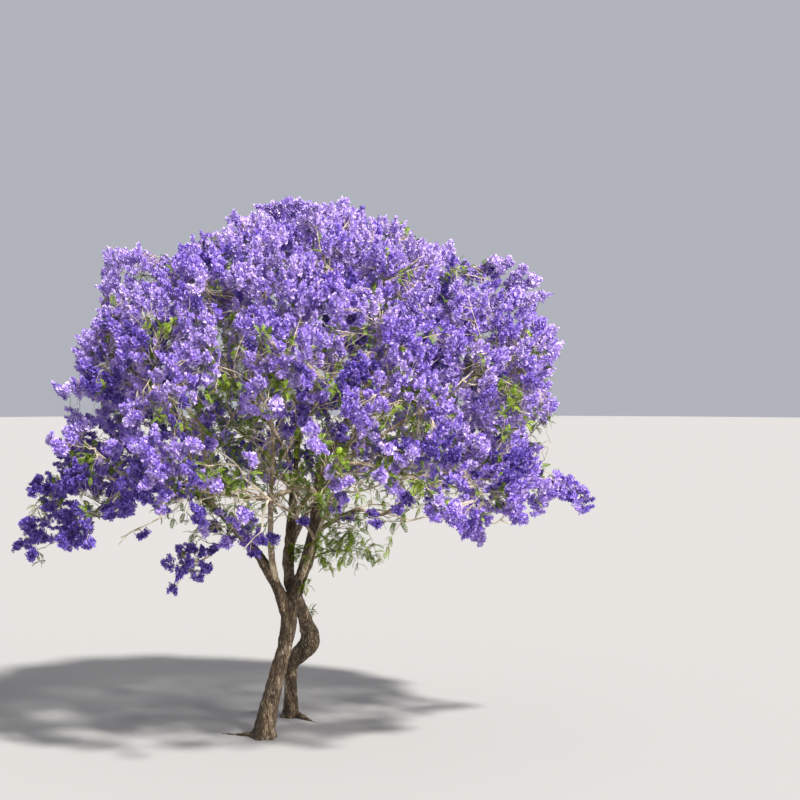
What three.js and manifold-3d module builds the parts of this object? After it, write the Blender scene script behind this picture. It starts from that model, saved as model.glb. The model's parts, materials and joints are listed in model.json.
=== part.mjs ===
// A jacaranda tree in full bloom: two leaning stems that cross under one domed crown.
// Millimetres, +Z up. The origin is on the ground, in the flat cut under the main stem, and +X is to the
// right of the side from which the two stems are seen to cross. Each mass of blossom is one solid of twigs
// and sprays, and a spray stands for a cluster of flower heads.
import * as THREE from "three";
import { mergeVertices } from "three/addons/utils/BufferGeometryUtils.js";
import Module from "manifold-3d";

const wasm = await Module();
wasm.setup();
const { Manifold } = wasm;

// Driving dimensions
const crownCentre = point(640, 500, 4360);
const crownReach = point(4830, 4620, 5290);
const clearance = 0.3;
const tidyBy = 0.05;
const goldenAngle = 137.50776;

// Swellings and hollows of the dome: azimuth, angle from the top and spread in degrees, gain as a share
const swells = [
  { azimuth: 0, zenith: 56, gain: 0.15, spread: 14 },
  { azimuth: 0, zenith: 84, gain: -0.1, spread: 7 },
  { azimuth: 0, zenith: 92, gain: 0.12, spread: 6 },
  { azimuth: 180, zenith: 42, gain: 0.14, spread: 11 },
  { azimuth: 180, zenith: 72, gain: -0.05, spread: 12 },
  { azimuth: 180, zenith: 102, gain: 0.17, spread: 13 },
  { azimuth: 90, zenith: 50, gain: 0.04, spread: 18 },
  { azimuth: 270, zenith: 62, gain: 0.03, spread: 16 },
];
// The crown ends this many degrees from its top, and lower where it droops
const brimZenith = 90.5;
const droops = [
  { azimuth: 180, spread: 55, drop: 15 },
  { azimuth: 0, spread: 20, drop: 4 },
  { azimuth: 322, spread: 16, drop: 8 },
];

// Rings of blossom masses, from the top of the dome down
const rings = [
  { name: "top", zenith: 0, count: 1, turn: 0 },
  { name: "upper", zenith: 34, count: 6, turn: 0 },
  { name: "middle", zenith: 61, count: 9, turn: 20 },
  { name: "lower", zenith: 87, count: 10, turn: 0 },
];
const massDepth = { tip: 0.56, fork: 0.7, hub: 0.87, centre: 0.85 };
const massGap = 14;

// Sprays over the dome
const crownSprays = 360;
const spray = { width: 560, flatness: 0.85, widest: 0.75, firstRoot: 0.35 };
const scatter = { depth: 0.14, row: 0.35, azimuth: 14 };
const spraySizes = [
  { length: 1, width: 1 },
  { length: 1, width: 0.7 },
  { length: 0.9, width: 0.7 },
  { length: 0.8, width: 0.5 },
  { length: 0.65, width: 0.4 },
];
const hubSprays = 9;
const twig = { stem: 26, fork: 20, hub: 15, end: 11 };
const twigClearance = 12;

// Stems, from the ground up: centre line, and radii spaced evenly along it
const stems = [
  {
    name: "trunk",
    phase: 0.9,
    sides: 14,
    steps: 15,
    radii: [182, 168, 141, 132, 146, 146],
    route: [
      [0, 0, 0],
      [76, 0, 462],
      [251, 30, 1182],
      [349, 45, 1538],
      [430, 50, 1960],
      [505, 50, 2420],
    ],
  },
  {
    name: "rear_stem",
    phase: 2.4,
    sides: 10,
    steps: 20,
    radii: [146, 128, 120, 126, 164, 194, 150, 124, 114, 108, 104],
    route: [
      [353, 1850, 0],
      [373, 1830, 458],
      [372, 1750, 850],
      [406, 1680, 1050],
      [556, 1570, 1240],
      [736, 1390, 1462],
      [712, 1150, 1810],
      [640, 830, 2126],
      [535, 480, 2440],
      [450, 200, 2734],
      [438, 203, 2905],
    ],
  },
];
const flare = { height: 170, spread: 0.3, lobes: 5, depth: 0.6 };

// Boughs that the stems' forks show, each carried on to the mass that it feeds
const mainBoughs = [
  {
    name: "leader",
    parent: "trunk",
    feeds: "upper_1",
    sides: 10,
    radii: [146, 128, 116, 114, 108, 92, 64, 38],
    route: [
      [505, 50, 2420],
      [595, 50, 2665],
      [684, 50, 2895],
      [825, 50, 3335],
      [904, 60, 3776],
      [960, 90, 4200],
      [1080, 200, 4900],
    ],
  },
  {
    name: "left_bough",
    parent: "trunk",
    feeds: "lower_6",
    sides: 8,
    radii: [112, 106, 102, 84, 60, 46, 30],
    route: [
      [420, 30, 2170],
      [236, -40, 2687],
      [18, -100, 3117],
      [-341, -180, 3586],
      [-800, -280, 4060],
      [-1300, -250, 4420],
    ],
  },
  {
    name: "rear_leader",
    parent: "rear_stem",
    feeds: "top_1",
    sides: 10,
    radii: [106, 104, 100, 90, 76, 58, 34],
    route: [
      [438, 203, 2905],
      [426, 226, 3076],
      [440, 370, 3420],
      [481, 480, 3800],
      [500, 550, 4200],
      [560, 610, 5100],
    ],
  },
  {
    name: "arch_bough",
    parent: "leader",
    feeds: "lower_7",
    sides: 6,
    radii: [66, 54, 50, 44, 38, 32, 24],
    route: [
      [950, 110, 4080],
      [900, 20, 4345],
      [742, -100, 4440],
      [473, -300, 4402],
      [16, -520, 4290],
      [-425, -780, 4350],
    ],
  },
  {
    name: "low_right_bough",
    parent: "leader",
    feeds: "lower_10",
    sides: 6,
    radii: [62, 48, 42, 36, 30, 22],
    route: [
      [860, 60, 3560],
      [1071, 0, 3742],
      [1412, -200, 3955],
      [1715, -400, 4080],
      [2118, -640, 4030],
    ],
  },
];
const mainBoughSteps = 12;

// Thickness of the other boughs, and what their choice of a parent weighs
const bough = { tipRadius: 19, perMetre: 13, ofParent: 0.66, collar: 0.3, sides: 6, steps: 6 };
const choice = { bend: 2.5, crowding: 700, tightness: 20, room: 80, leastRoom: 12 };
choice.besideParent = 420;
choice.leastParentRadius = 32;

// Small masses that hang inside, under the dome
const innerMasses = [
  { name: "blossom_inner_left", parent: "left_bough", centre: [-430, -1080, 3830], reach: [620, 520, 420] },
  { name: "blossom_hanging", parent: "left_bough", centre: [-1190, -1050, 3230], reach: [480, 420, 380] },
  { name: "leaves_inner_right", parent: "leader", centre: [1500, -40, 3320], reach: [640, 520, 400] },
];
const inner = { sprays: 9, width: 300, tipShare: 0.45, station: 5 };

const bark = new THREE.MeshStandardMaterial({ color: 0x6e5f50, roughness: 0.92, metalness: 0 });
const blossom = new THREE.MeshStandardMaterial({ color: 0x8f72dd, roughness: 0.7, metalness: 0 });
const leaf = new THREE.MeshStandardMaterial({ color: 0x6f9136, roughness: 0.65, metalness: 0 });

function point(x, y, z) {
  return new THREE.Vector3(x, y, z);
}

// A repeatable stream of numbers from 0 to 1
function seeded(seed) {
  let state = seed;
  return () => {
    state = (state * 16807) % 2147483647;
    return state / 2147483647;
  };
}

// Places on the dome

function heading(azimuth, zenith) {
  const a = THREE.MathUtils.degToRad(azimuth);
  const z = THREE.MathUtils.degToRad(zenith);
  return point(Math.sin(z) * Math.cos(a), Math.sin(z) * Math.sin(a), Math.cos(z));
}

function swellAt(direction) {
  let share = 1;
  for (const s of swells) {
    const away = THREE.MathUtils.radToDeg(direction.angleTo(heading(s.azimuth, s.zenith)));
    share += s.gain * Math.exp(-((away / s.spread) ** 2));
  }
  return share;
}

function onDome(direction, depth) {
  const reach = depth * swellAt(direction);
  return direction.clone().multiply(crownReach).multiplyScalar(reach).add(crownCentre);
}

function brimAt(azimuth) {
  const drops = droops.map((d) => {
    const away = Math.abs(THREE.MathUtils.euclideanModulo(azimuth - d.azimuth + 180, 360) - 180);
    return d.drop * Math.exp(-((away / d.spread) ** 2));
  });
  return brimZenith + Math.max(...drops);
}

function unitPlace(p) {
  return p.clone().sub(crownCentre).divide(crownReach);
}

// Masses keep to the places nearer to their own centre than to any other mass's

const masses = [];
for (const ring of rings)
  for (let k = 0; k < ring.count; k++) {
    const azimuth = ring.turn + (360 * k) / ring.count;
    const direction = heading(azimuth, ring.zenith);
    masses.push({
      name: `${ring.name}_${k + 1}`,
      direction,
      centre: direction.clone().multiplyScalar(massDepth.centre),
      tip: onDome(direction, massDepth.tip),
      sprays: [],
    });
  }

function nearestMass(place) {
  let best = masses[0];
  for (const m of masses)
    if (m.centre.distanceToSquared(place) < best.centre.distanceToSquared(place)) best = m;
  return best;
}

function keepsToMass(mass, corners) {
  return corners.every((corner) => {
    const place = unitPlace(corner);
    const own = mass.centre.distanceToSquared(place);
    return masses.every((m) => {
      if (m === mass) return true;
      const toBorder = (m.centre.distanceToSquared(place) - own) / (2 * m.centre.distanceTo(mass.centre));
      return toBorder * crownReach.y > massGap;
    });
  });
}

// Limbs: a centre line with a radius at each of its points

function limbAlong(name, curve, steps, radiusAt, sides) {
  const points = curve.getPoints(steps);
  const radii = points.map((_, i) => radiusAt(i / steps));
  return { name, points, radii, sides };
}

function between(values, share) {
  const place = share * (values.length - 1);
  const i = Math.min(Math.floor(place), values.length - 2);
  return values[i] + (values[i + 1] - values[i]) * (place - i);
}

function routeCurve(points) {
  return new THREE.CatmullRomCurve3(points, false, "catmullrom", 0.5);
}

function tangent(points, i) {
  const before = points[Math.max(i - 1, 0)];
  const after = points[Math.min(i + 1, points.length - 1)];
  return after.clone().sub(before).normalize();
}

// A bough tapers to its tip and widens in a collar where it leaves its parent
function boughRadius(base, length) {
  return (t) => {
    const collar = 1 + bough.collar * Math.exp((-t * length) / (2.2 * base));
    return THREE.MathUtils.lerp(base, bough.tipRadius, t) * collar;
  };
}

// Root flare: the foot widens in lobes, and a limb that stands on the ground starts in a level ring
function flareShare(height, angle, phase) {
  const low = Math.exp(-height / flare.height);
  return 1 + flare.spread * low * (1 + flare.depth * Math.cos(flare.lobes * angle + phase));
}

function limbSolid(limb, extra = 0) {
  const { sides, rooted } = limb;
  const points = limb.points.map((p) => p.clone());
  points.at(-1).addScaledVector(tangent(limb.points, points.length - 1), extra);
  if (!rooted) points[0].addScaledVector(tangent(limb.points, 0), -extra);
  const positions = [];
  const index = [];
  let across = Math.abs(tangent(points, 0).y) > 0.9 ? point(1, 0, 0) : point(0, 1, 0);
  points.forEach((centre, i) => {
    const along = rooted && i === 0 ? point(0, 0, 1) : tangent(points, i);
    across.addScaledVector(along, -across.dot(along)).normalize();
    const side = along.clone().cross(across);
    for (let k = 0; k < sides; k++) {
      const angle = (2 * Math.PI * k) / sides;
      const share = rooted ? flareShare(centre.z, angle, limb.phase) : 1;
      const radius = limb.radii[i] * share + extra;
      const p = centre
        .clone()
        .addScaledVector(across, Math.cos(angle) * radius)
        .addScaledVector(side, Math.sin(angle) * radius);
      positions.push(p.x, p.y, rooted ? Math.max(p.z, 0) : p.z);
    }
  });
  const last = points.length - 1;
  for (let i = 0; i < last; i++)
    for (let k = 0; k < sides; k++) {
      const a = i * sides + k;
      const b = i * sides + ((k + 1) % sides);
      index.push(a, b, b + sides, a, b + sides, a + sides);
    }
  for (let k = 1; k < sides - 1; k++) {
    index.push(0, k + 1, k);
    index.push(last * sides, last * sides + k, last * sides + k + 1);
  }
  return solidOf(positions, index);
}

function solidOf(positions, index) {
  const geometry = new THREE.BufferGeometry();
  geometry.setAttribute("position", new THREE.Float32BufferAttribute(positions, 3));
  geometry.setIndex(index);
  const merged = mergeVertices(geometry, 1e-3);
  return new Manifold(
    new wasm.Mesh({
      numProp: 3,
      vertProperties: merged.attributes.position.array,
      triVerts: new Uint32Array(merged.index.array),
    }),
  );
}

function largest(solid) {
  return solid.decompose().reduce((a, b) => (b.volume() > a.volume() ? b : a));
}

function gapTo(limb, p) {
  let gap = Infinity;
  for (let i = 0; i < limb.points.length - 1; i++) {
    const line = new THREE.Line3(limb.points[i], limb.points[i + 1]);
    const share = line.closestPointToPointParameter(p, true);
    const radius = limb.radii[i] + (limb.radii[i + 1] - limb.radii[i]) * share;
    gap = Math.min(gap, line.at(share, new THREE.Vector3()).distanceTo(p) - radius);
  }
  return gap;
}

// The stems

const limbs = [];

function addLimb(limb) {
  limbs.push(limb);
  return limb;
}

function limbNamed(name) {
  return limbs.find((limb) => limb.name === name);
}

for (const s of stems) {
  const curve = routeCurve(s.route.map((p) => point(...p)));
  const limb = addLimb(limbAlong(s.name, curve, s.steps, (t) => between(s.radii, t), s.sides));
  limb.rooted = true;
  limb.phase = s.phase;
}

// The boughs that are seen to leave the forks

for (const b of mainBoughs) {
  const mass = masses.find((m) => m.name === b.feeds);
  const curve = routeCurve([...b.route.map((p) => point(...p)), mass.tip]);
  const limb = addLimb(limbAlong(b.name, curve, mainBoughSteps, (t) => between(b.radii, t), b.sides));
  limb.parent = limbNamed(b.parent);
  mass.bough = limb;
}

// The other boughs: each mass is fed from the station that bends and crowds the least

function boughCurve(from, along, tip, outward) {
  const reach = tip.clone().sub(from);
  const length = reach.length();
  const start = reach.clone().normalize().add(along).normalize();
  return new THREE.CubicBezierCurve3(
    from,
    from.clone().addScaledVector(start, 0.35 * length),
    tip.clone().addScaledVector(outward, -0.3 * length),
    tip,
  );
}

// The least room between a new bough and the limbs around it, its parent only past the fork
function roomBeside(points, radius, parent) {
  const gaps = limbs.flatMap((limb) => {
    const past = points.filter((p) => limb !== parent || p.distanceTo(points[0]) > choice.besideParent);
    return past.map((p) => gapTo(limb, p) - radius);
  });
  return Math.min(...gaps);
}

function growBough(name, tip, outward, parents) {
  let best = null;
  for (const parent of parents)
    for (let i = 2; i < parent.points.length - 2; i++) {
      if (parent.radii[i] < choice.leastParentRadius) continue;
      const from = parent.points[i];
      const reach = tip.clone().sub(from);
      const length = reach.length();
      const along = tangent(parent.points, i);
      const curve = boughCurve(from, along, tip, outward);
      const wanted = bough.tipRadius + (bough.perMetre * length) / 1000;
      const base = Math.min(bough.ofParent * parent.radii[i], wanted);
      const room = roomBeside(curve.getPoints(12), base, parent);
      if (room < choice.leastRoom) continue;
      const crowd = limbs.filter((limb) => limb.parent && limb.points[0].distanceTo(from) < 300).length;
      const bend = 1 - along.dot(reach) / length;
      const tight = Math.max(0, choice.room - room);
      const cost = length * (1 + choice.bend * bend) + choice.crowding * crowd + choice.tightness * tight;
      if (!best || cost < best.cost) best = { cost, curve, base, parent, length };
    }
  if (!best) throw new Error(`no bough reaches ${name}`);
  const { curve, base, length } = best;
  const limb = addLimb(limbAlong(name, curve, bough.steps, boughRadius(base, length), bough.sides));
  limb.parent = best.parent;
  return limb;
}

for (const m of innerMasses) {
  const centre = point(...m.centre);
  const parent = limbNamed(m.parent);
  const outward = centre.clone().sub(parent.points[inner.station]).normalize();
  const tip = centre.clone().addScaledVector(outward, -inner.tipShare * m.reach[0]);
  m.bough = growBough(m.name.replace(/^[a-z]+/, "bough"), tip, outward, [parent]);
}

// The masses nearest to the leader's middle choose first
const childless = ["arch_bough", "low_right_bough"];
const midLeader = limbNamed("leader").points[6];
const unfed = masses.filter((m) => !m.bough);
unfed.sort((a, b) => a.tip.distanceTo(midLeader) - b.tip.distanceTo(midLeader));
for (const mass of unfed) {
  const parents = limbs.filter((limb) => limb.parent && !childless.includes(limb.name));
  const outward = mass.tip.clone().sub(crownCentre).normalize();
  mass.bough = growBough(`bough_${mass.name}`, mass.tip, outward, parents);
}

// Masses of twigs and sprays

function prism(from, to, fromRadius, toRadius) {
  return limbSolid({ points: [from, to], radii: [fromRadius, toRadius], sides: 3 });
}

// A spray is a three-sided spindle, flatter one way than the other
function sprayCorners(from, to, width, turn) {
  const along = to.clone().sub(from).normalize();
  const across = Math.abs(along.z) > 0.9 ? point(1, 0, 0) : point(0, 0, 1);
  across.cross(along).normalize().applyAxisAngle(along, turn);
  const side = along.clone().cross(across).multiplyScalar(spray.flatness);
  const middle = from.clone().lerp(to, spray.widest);
  const ring = [0, 1, 2].map((k) => {
    const angle = (2 * Math.PI * k) / 3;
    const out = across.clone().multiplyScalar(Math.cos(angle)).addScaledVector(side, Math.sin(angle));
    return middle.clone().addScaledVector(out, width / 2);
  });
  return [from, ...ring, to];
}

function spraySolid(corners) {
  const index = [0, 2, 1, 0, 3, 2, 0, 1, 3, 4, 1, 2, 4, 2, 3, 4, 3, 1];
  return solidOf(
    corners.flatMap((c) => [c.x, c.y, c.z]),
    index,
  );
}

function clearOfLimbs(corners) {
  const shares = [0, 0.25, 0.5, 0.75, 1];
  const edges = corners.flatMap((c, i) => corners.slice(i + 1).map((d) => [c, d]));
  const samples = edges.flatMap(([c, d]) => shares.map((share) => c.clone().lerp(d, share)));
  return limbs.every((limb) => samples.every((p) => gapTo(limb, p) > twigClearance));
}

// Splits the sprays in two across the way they spread most, until a group is small enough for one hub
function groupsOf(sprays, most) {
  if (sprays.length <= most) return [sprays];
  const low = point(Infinity, Infinity, Infinity);
  const high = point(-Infinity, -Infinity, -Infinity);
  for (const s of sprays) {
    low.min(s.tip);
    high.max(s.tip);
  }
  const size = high.sub(low);
  const axis = size.x >= size.y && size.x >= size.z ? "x" : size.y >= size.z ? "y" : "z";
  const sorted = [...sprays].sort((a, b) => a.tip[axis] - b.tip[axis]);
  const half = Math.ceil(sorted.length / 2);
  return [...groupsOf(sorted.slice(0, half), most), ...groupsOf(sorted.slice(half), most)];
}

function meanOf(points) {
  const sum = point(0, 0, 0);
  for (const p of points) sum.add(p);
  return sum.divideScalar(points.length);
}

function massSolid(mass, allowed, hubOf, width) {
  const base = mass.bough.points.at(-1);
  const fork = mass.fork;
  const pieces = [prism(base, fork, twig.stem, twig.fork)];
  for (const group of groupsOf(mass.sprays, hubSprays)) {
    const hub = hubOf(meanOf(group.map((s) => s.tip)));
    const inFork = fork.clone().addScaledVector(hub.clone().sub(fork).normalize(), -twig.hub);
    if (!allowed([inFork, hub])) continue;
    pieces.push(prism(inFork, hub, twig.hub, twig.end));
    const along = hub.clone().sub(inFork);
    group.sort((a, b) => a.tip.dot(along) - b.tip.dot(along));
    for (const [i, s] of group.entries()) {
      const rootShare = THREE.MathUtils.lerp(spray.firstRoot, 1, (i + 0.5) / group.length);
      const root = inFork.clone().lerp(hub, rootShare);
      for (const size of spraySizes) {
        const tip = root.clone().lerp(s.tip, size.length);
        const corners = sprayCorners(root, tip, width * size.width, s.turn);
        if (!allowed(corners)) continue;
        pieces.push(spraySolid(corners));
        break;
      }
    }
  }
  return largest(Manifold.union(pieces).subtract(limbSolid(mass.bough, clearance)).simplify(tidyBy));
}

// Sprays are dealt evenly over the dome by the golden angle, and each goes to the mass whose space it is in

const deal = seeded(2411);
for (let k = 0; k < crownSprays; k++) {
  const azimuth = (k * goldenAngle + (deal() - 0.5) * scatter.azimuth) % 360;
  const lowest = Math.cos(THREE.MathUtils.degToRad(brimAt(azimuth)));
  const share = (k + 0.5 + (deal() - 0.5) * scatter.row) / crownSprays;
  const zenith = THREE.MathUtils.radToDeg(Math.acos(1 - share * (1 - lowest)));
  const depth = 1 - scatter.depth * deal() ** 2;
  const direction = heading(azimuth, zenith);
  const mass = nearestMass(direction.clone().multiplyScalar(depth));
  mass.sprays.push({
    tip: onDome(direction, depth),
    turn: deal() * Math.PI,
  });
}

function crownHub(mean) {
  const direction = unitPlace(mean).normalize();
  return onDome(direction, massDepth.hub);
}

const solids = new Map();
for (const mass of masses) {
  mass.fork = onDome(mass.direction, massDepth.fork);
  const allowed = (corners) => keepsToMass(mass, corners) && clearOfLimbs(corners);
  solids.set(`blossom_${mass.name}`, massSolid(mass, allowed, crownHub, spray.width));
}

// The small masses inside

for (const m of innerMasses) {
  const centre = point(...m.centre);
  const reach = point(...m.reach);
  m.fork = centre.clone().lerp(m.bough.points.at(-1), 0.4);
  m.sprays = [];
  for (let k = 0; k < inner.sprays; k++) {
    const zenith = THREE.MathUtils.radToDeg(Math.acos(1 - (2 * (k + 0.5)) / inner.sprays));
    const tip = heading(k * goldenAngle, zenith).multiply(reach).add(centre);
    m.sprays.push({ tip, turn: deal() * Math.PI });
  }
  const hubOf = (mean) => mean.clone().lerp(centre, 0.5);
  solids.set(m.name, massSolid(m, clearOfLimbs, hubOf, inner.width));
}

// Each limb stops short of the limbs that it leaves or passes

const bodies = limbs.map((limb) => limbSolid(limb));
const shells = limbs.map((limb) => limbSolid(limb, clearance));
limbs.forEach((limb, i) => {
  let solid = bodies[i];
  for (let k = 0; k < i; k++) if (solid.intersect(shells[k]).volume() > 0) solid = solid.subtract(shells[k]);
  solids.set(limb.name, largest(solid.simplify(tidyBy)));
});

// The scene graph

function meshOf(name, solid, material) {
  const { vertProperties, triVerts } = solid.getMesh();
  const geometry = new THREE.BufferGeometry();
  geometry.setAttribute("position", new THREE.BufferAttribute(vertProperties, 3));
  geometry.setIndex(new THREE.BufferAttribute(triVerts, 1));
  geometry.computeVertexNormals();
  const mesh = new THREE.Mesh(geometry, material);
  mesh.name = name;
  return mesh;
}

const tree = new THREE.Group();
for (const [name, solid] of solids) {
  const material = name.startsWith("blossom_") ? blossom : name.startsWith("leaves_") ? leaf : bark;
  tree.add(meshOf(name, solid, material));
}

export default tree;
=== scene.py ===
"""The looks of a jacaranda tree in full bloom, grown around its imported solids. Metres, +Z up.

The crown, its masses, the boughs and the sprays follow the same seeded rule as the solids. Each spray is
then carried on to finer twigs, panicles of flowers and feathery leaves within the same reach.
"""

import json
import math
from collections import namedtuple

import bmesh
import bpy
import numpy as np
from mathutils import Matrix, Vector, noise

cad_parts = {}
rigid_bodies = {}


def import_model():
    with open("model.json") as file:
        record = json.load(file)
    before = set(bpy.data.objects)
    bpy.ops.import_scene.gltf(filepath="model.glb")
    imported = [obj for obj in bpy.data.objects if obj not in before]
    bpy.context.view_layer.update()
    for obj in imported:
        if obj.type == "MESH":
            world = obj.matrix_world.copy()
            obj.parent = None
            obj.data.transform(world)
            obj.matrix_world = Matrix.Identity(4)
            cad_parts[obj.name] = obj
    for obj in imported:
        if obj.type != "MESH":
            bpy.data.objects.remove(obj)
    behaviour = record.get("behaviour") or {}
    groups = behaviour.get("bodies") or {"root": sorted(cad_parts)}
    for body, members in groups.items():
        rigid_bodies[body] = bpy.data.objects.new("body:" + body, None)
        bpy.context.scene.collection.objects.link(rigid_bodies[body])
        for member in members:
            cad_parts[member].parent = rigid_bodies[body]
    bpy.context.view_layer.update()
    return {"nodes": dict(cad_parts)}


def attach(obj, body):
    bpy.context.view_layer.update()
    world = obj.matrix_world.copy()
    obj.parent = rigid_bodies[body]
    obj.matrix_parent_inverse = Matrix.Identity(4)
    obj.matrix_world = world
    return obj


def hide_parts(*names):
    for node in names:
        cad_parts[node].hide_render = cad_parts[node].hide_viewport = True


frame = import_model()
scene = bpy.context.scene
scene.view_settings.view_transform = "Standard"

# The rule's driving dimensions, as in the part's source

CROWN_CENTRE = np.array([0.64, 0.5, 4.36])
CROWN_REACH = np.array([4.83, 4.62, 5.29])
GOLDEN_ANGLE = 137.50776
SEED = 2411
STREAM_FACTOR = 16807
STREAM_MODULUS = 2147483647

# Swellings and hollows of the dome: azimuth, angle from the top, gain as a share, spread
SWELLS = [
    (0, 56, 0.15, 14), (0, 84, -0.1, 7), (0, 92, 0.12, 6), (180, 42, 0.14, 11), (180, 72, -0.05, 12),
    (180, 102, 0.17, 13), (90, 50, 0.04, 18), (270, 62, 0.03, 16),
]
# The crown ends this many degrees from its top, and lower where it droops: azimuth, spread, drop
BRIM_ZENITH = 90.5
DROOPS = [(180, 55, 15), (0, 20, 4), (322, 16, 8)]

# Where growth past the boughs' tips stops short of the dome: azimuth, angle from the top, share, spread
TRIMS = [(180, 24, 0.09, 13), (180, 57, 0.12, 10), (0, 79, 0.07, 6)]

# Rings of blossom masses: name, angle from the top, count, turn
RINGS = [("top", 0, 1, 0), ("upper", 34, 6, 0), ("middle", 61, 9, 20), ("lower", 87, 10, 0)]
TIP_DEPTH = 0.56
FORK_DEPTH = 0.7
HUB_DEPTH = 0.87
CENTRE_DEPTH = 0.85
MASS_GAP = 0.014

CROWN_SPRAYS = 360
SPRAY_WIDTH = 0.56
SPRAY_FLATNESS = 0.85
SPRAY_WIDEST = 0.75
# A direction with more of +Z in it than this is taken as upright
UPRIGHT = 0.9
FIRST_ROOT = 0.35
SCATTER_DEPTH = 0.14
SCATTER_ROW = 0.35
SCATTER_AZIMUTH = 14
# Sizes that a spray tries until it fits: length and width as shares
SPRAY_SIZES = [(1, 1), (1, 0.7), (0.9, 0.7), (0.8, 0.5), (0.65, 0.4)]
HUB_SPRAYS = 9
HUB_TWIG = 0.015
TWIG_CLEARANCE = 0.012

# Stems from the ground up: steps, radii spaced evenly along the route, and the route
STEMS = {
    "trunk": (
        15, [0.182, 0.168, 0.141, 0.132, 0.146, 0.146],
        [(0, 0, 0), (0.076, 0, 0.462), (0.251, 0.03, 1.182), (0.349, 0.045, 1.538), (0.43, 0.05, 1.96),
         (0.505, 0.05, 2.42)],
    ),
    "rear_stem": (
        20, [0.146, 0.128, 0.12, 0.126, 0.164, 0.194, 0.15, 0.124, 0.114, 0.108, 0.104],
        [(0.353, 1.85, 0), (0.373, 1.83, 0.458), (0.372, 1.75, 0.85), (0.406, 1.68, 1.05),
         (0.556, 1.57, 1.24), (0.736, 1.39, 1.462), (0.712, 1.15, 1.81), (0.64, 0.83, 2.126),
         (0.535, 0.48, 2.44), (0.45, 0.2, 2.734), (0.438, 0.203, 2.905)],
    ),
}
FLARE_PHASE = {"trunk": 0.9, "rear_stem": 2.4}
FLARE_HEIGHT = 0.17
FLARE_SPREAD = 0.3
FLARE_LOBES = 5
FLARE_DEPTH = 0.6
# The stems run on below the ground by this much until they are cut there
BELOW_CUT = 0.12

# Boughs that the forks show: parent, mass fed, radii and route
MAIN_BOUGHS = {
    "leader": (
        "trunk", "upper_1", [0.146, 0.128, 0.116, 0.114, 0.108, 0.092, 0.064, 0.038],
        [(0.505, 0.05, 2.42), (0.595, 0.05, 2.665), (0.684, 0.05, 2.895), (0.825, 0.05, 3.335),
         (0.904, 0.06, 3.776), (0.96, 0.09, 4.2), (1.08, 0.2, 4.9)],
    ),
    "left_bough": (
        "trunk", "lower_6", [0.112, 0.106, 0.102, 0.084, 0.06, 0.046, 0.03],
        [(0.42, 0.03, 2.17), (0.236, -0.04, 2.687), (0.018, -0.1, 3.117), (-0.341, -0.18, 3.586),
         (-0.8, -0.28, 4.06), (-1.3, -0.25, 4.42)],
    ),
    "rear_leader": (
        "rear_stem", "top_1", [0.106, 0.104, 0.1, 0.09, 0.076, 0.058, 0.034],
        [(0.438, 0.203, 2.905), (0.426, 0.226, 3.076), (0.44, 0.37, 3.42), (0.481, 0.48, 3.8),
         (0.5, 0.55, 4.2), (0.56, 0.61, 5.1)],
    ),
    "arch_bough": (
        "leader", "lower_7", [0.066, 0.054, 0.05, 0.044, 0.038, 0.032, 0.024],
        [(0.95, 0.11, 4.08), (0.9, 0.02, 4.345), (0.742, -0.1, 4.44), (0.473, -0.3, 4.402),
         (0.016, -0.52, 4.29), (-0.425, -0.78, 4.35)],
    ),
    "low_right_bough": (
        "leader", "lower_10", [0.062, 0.048, 0.042, 0.036, 0.03, 0.022],
        [(0.86, 0.06, 3.56), (1.071, 0, 3.742), (1.412, -0.2, 3.955), (1.715, -0.4, 4.08),
         (2.118, -0.64, 4.03)],
    ),
}
MAIN_BOUGH_STEPS = 12
CHILDLESS = ("arch_bough", "low_right_bough")
THICK_LIMBS = ["trunk", "rear_stem", "leader", "left_bough", "rear_leader"]

# The roots that lie on the ground: route from inside a stem's foot, radii spaced evenly along it
SURFACE_ROOTS = [
    ([(0.03, 0.02, 0.4), (-0.06, 0.05, 0.17), (-0.2, 0.1, 0.05), (-0.48, 0.22, 0.01), (-0.8, 0.38, -0.015)],
     [0.07, 0.075, 0.058, 0.04, 0.02]),
    ([(0.38, 1.84, 0.3), (0.48, 1.77, 0.1), (0.7, 1.52, 0.02), (1.03, 1.1, -0.015)],
     [0.07, 0.062, 0.042, 0.02]),
]

# The other boughs, and what their choice of a parent weighs
BOUGH_TIP = 0.019
BOUGH_PER_METRE = 0.013
BOUGH_OF_PARENT = 0.66
BOUGH_COLLAR = 0.3
# How far the collar runs, in radii, and for which shares of its length a bough leaves and arrives straight
COLLAR_RUN = 2.2
LEAVING_SHARE = 0.35
ARRIVING_SHARE = 0.3
BOUGH_STEPS = 6
ROOM_STATIONS = 13
BEND_COST = 2.5
CROWDING_COST = 0.7
CROWDING_REACH = 0.3
TIGHTNESS_COST = 20
WANTED_ROOM = 0.08
LEAST_ROOM = 0.012
BESIDE_PARENT = 0.42
LEAST_PARENT_RADIUS = 0.032

# Small masses under the dome: name, parent, centre and reach
INNER_MASSES = [
    ("blossom_inner_left", "left_bough", (-0.43, -1.08, 3.83), (0.62, 0.52, 0.42)),
    ("blossom_hanging", "left_bough", (-1.19, -1.05, 3.23), (0.48, 0.42, 0.38)),
    ("leaves_inner_right", "leader", (1.5, -0.04, 3.32), (0.64, 0.52, 0.4)),
]
INNER_SPRAYS = 9
INNER_WIDTH = 0.3
INNER_TIP_SHARE = 0.45
INNER_FORK_SHARE = 0.4
# Their blossom is paler or deeper than the rest; the mass to the inner left is paler as painted light
INNER_TONES_WITH_PAINTED_LIGHT = {"blossom_inner_left": -2.2, "blossom_hanging": 0.8}
INNER_TONE_SCATTER = 0.3
INNER_STATION = 5
# How far short of its spray's tip a twig ends and a panicle starts
INNER_TWIG_SHORT = 0.15
INNER_PANICLE_SHORT = 0.24

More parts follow.
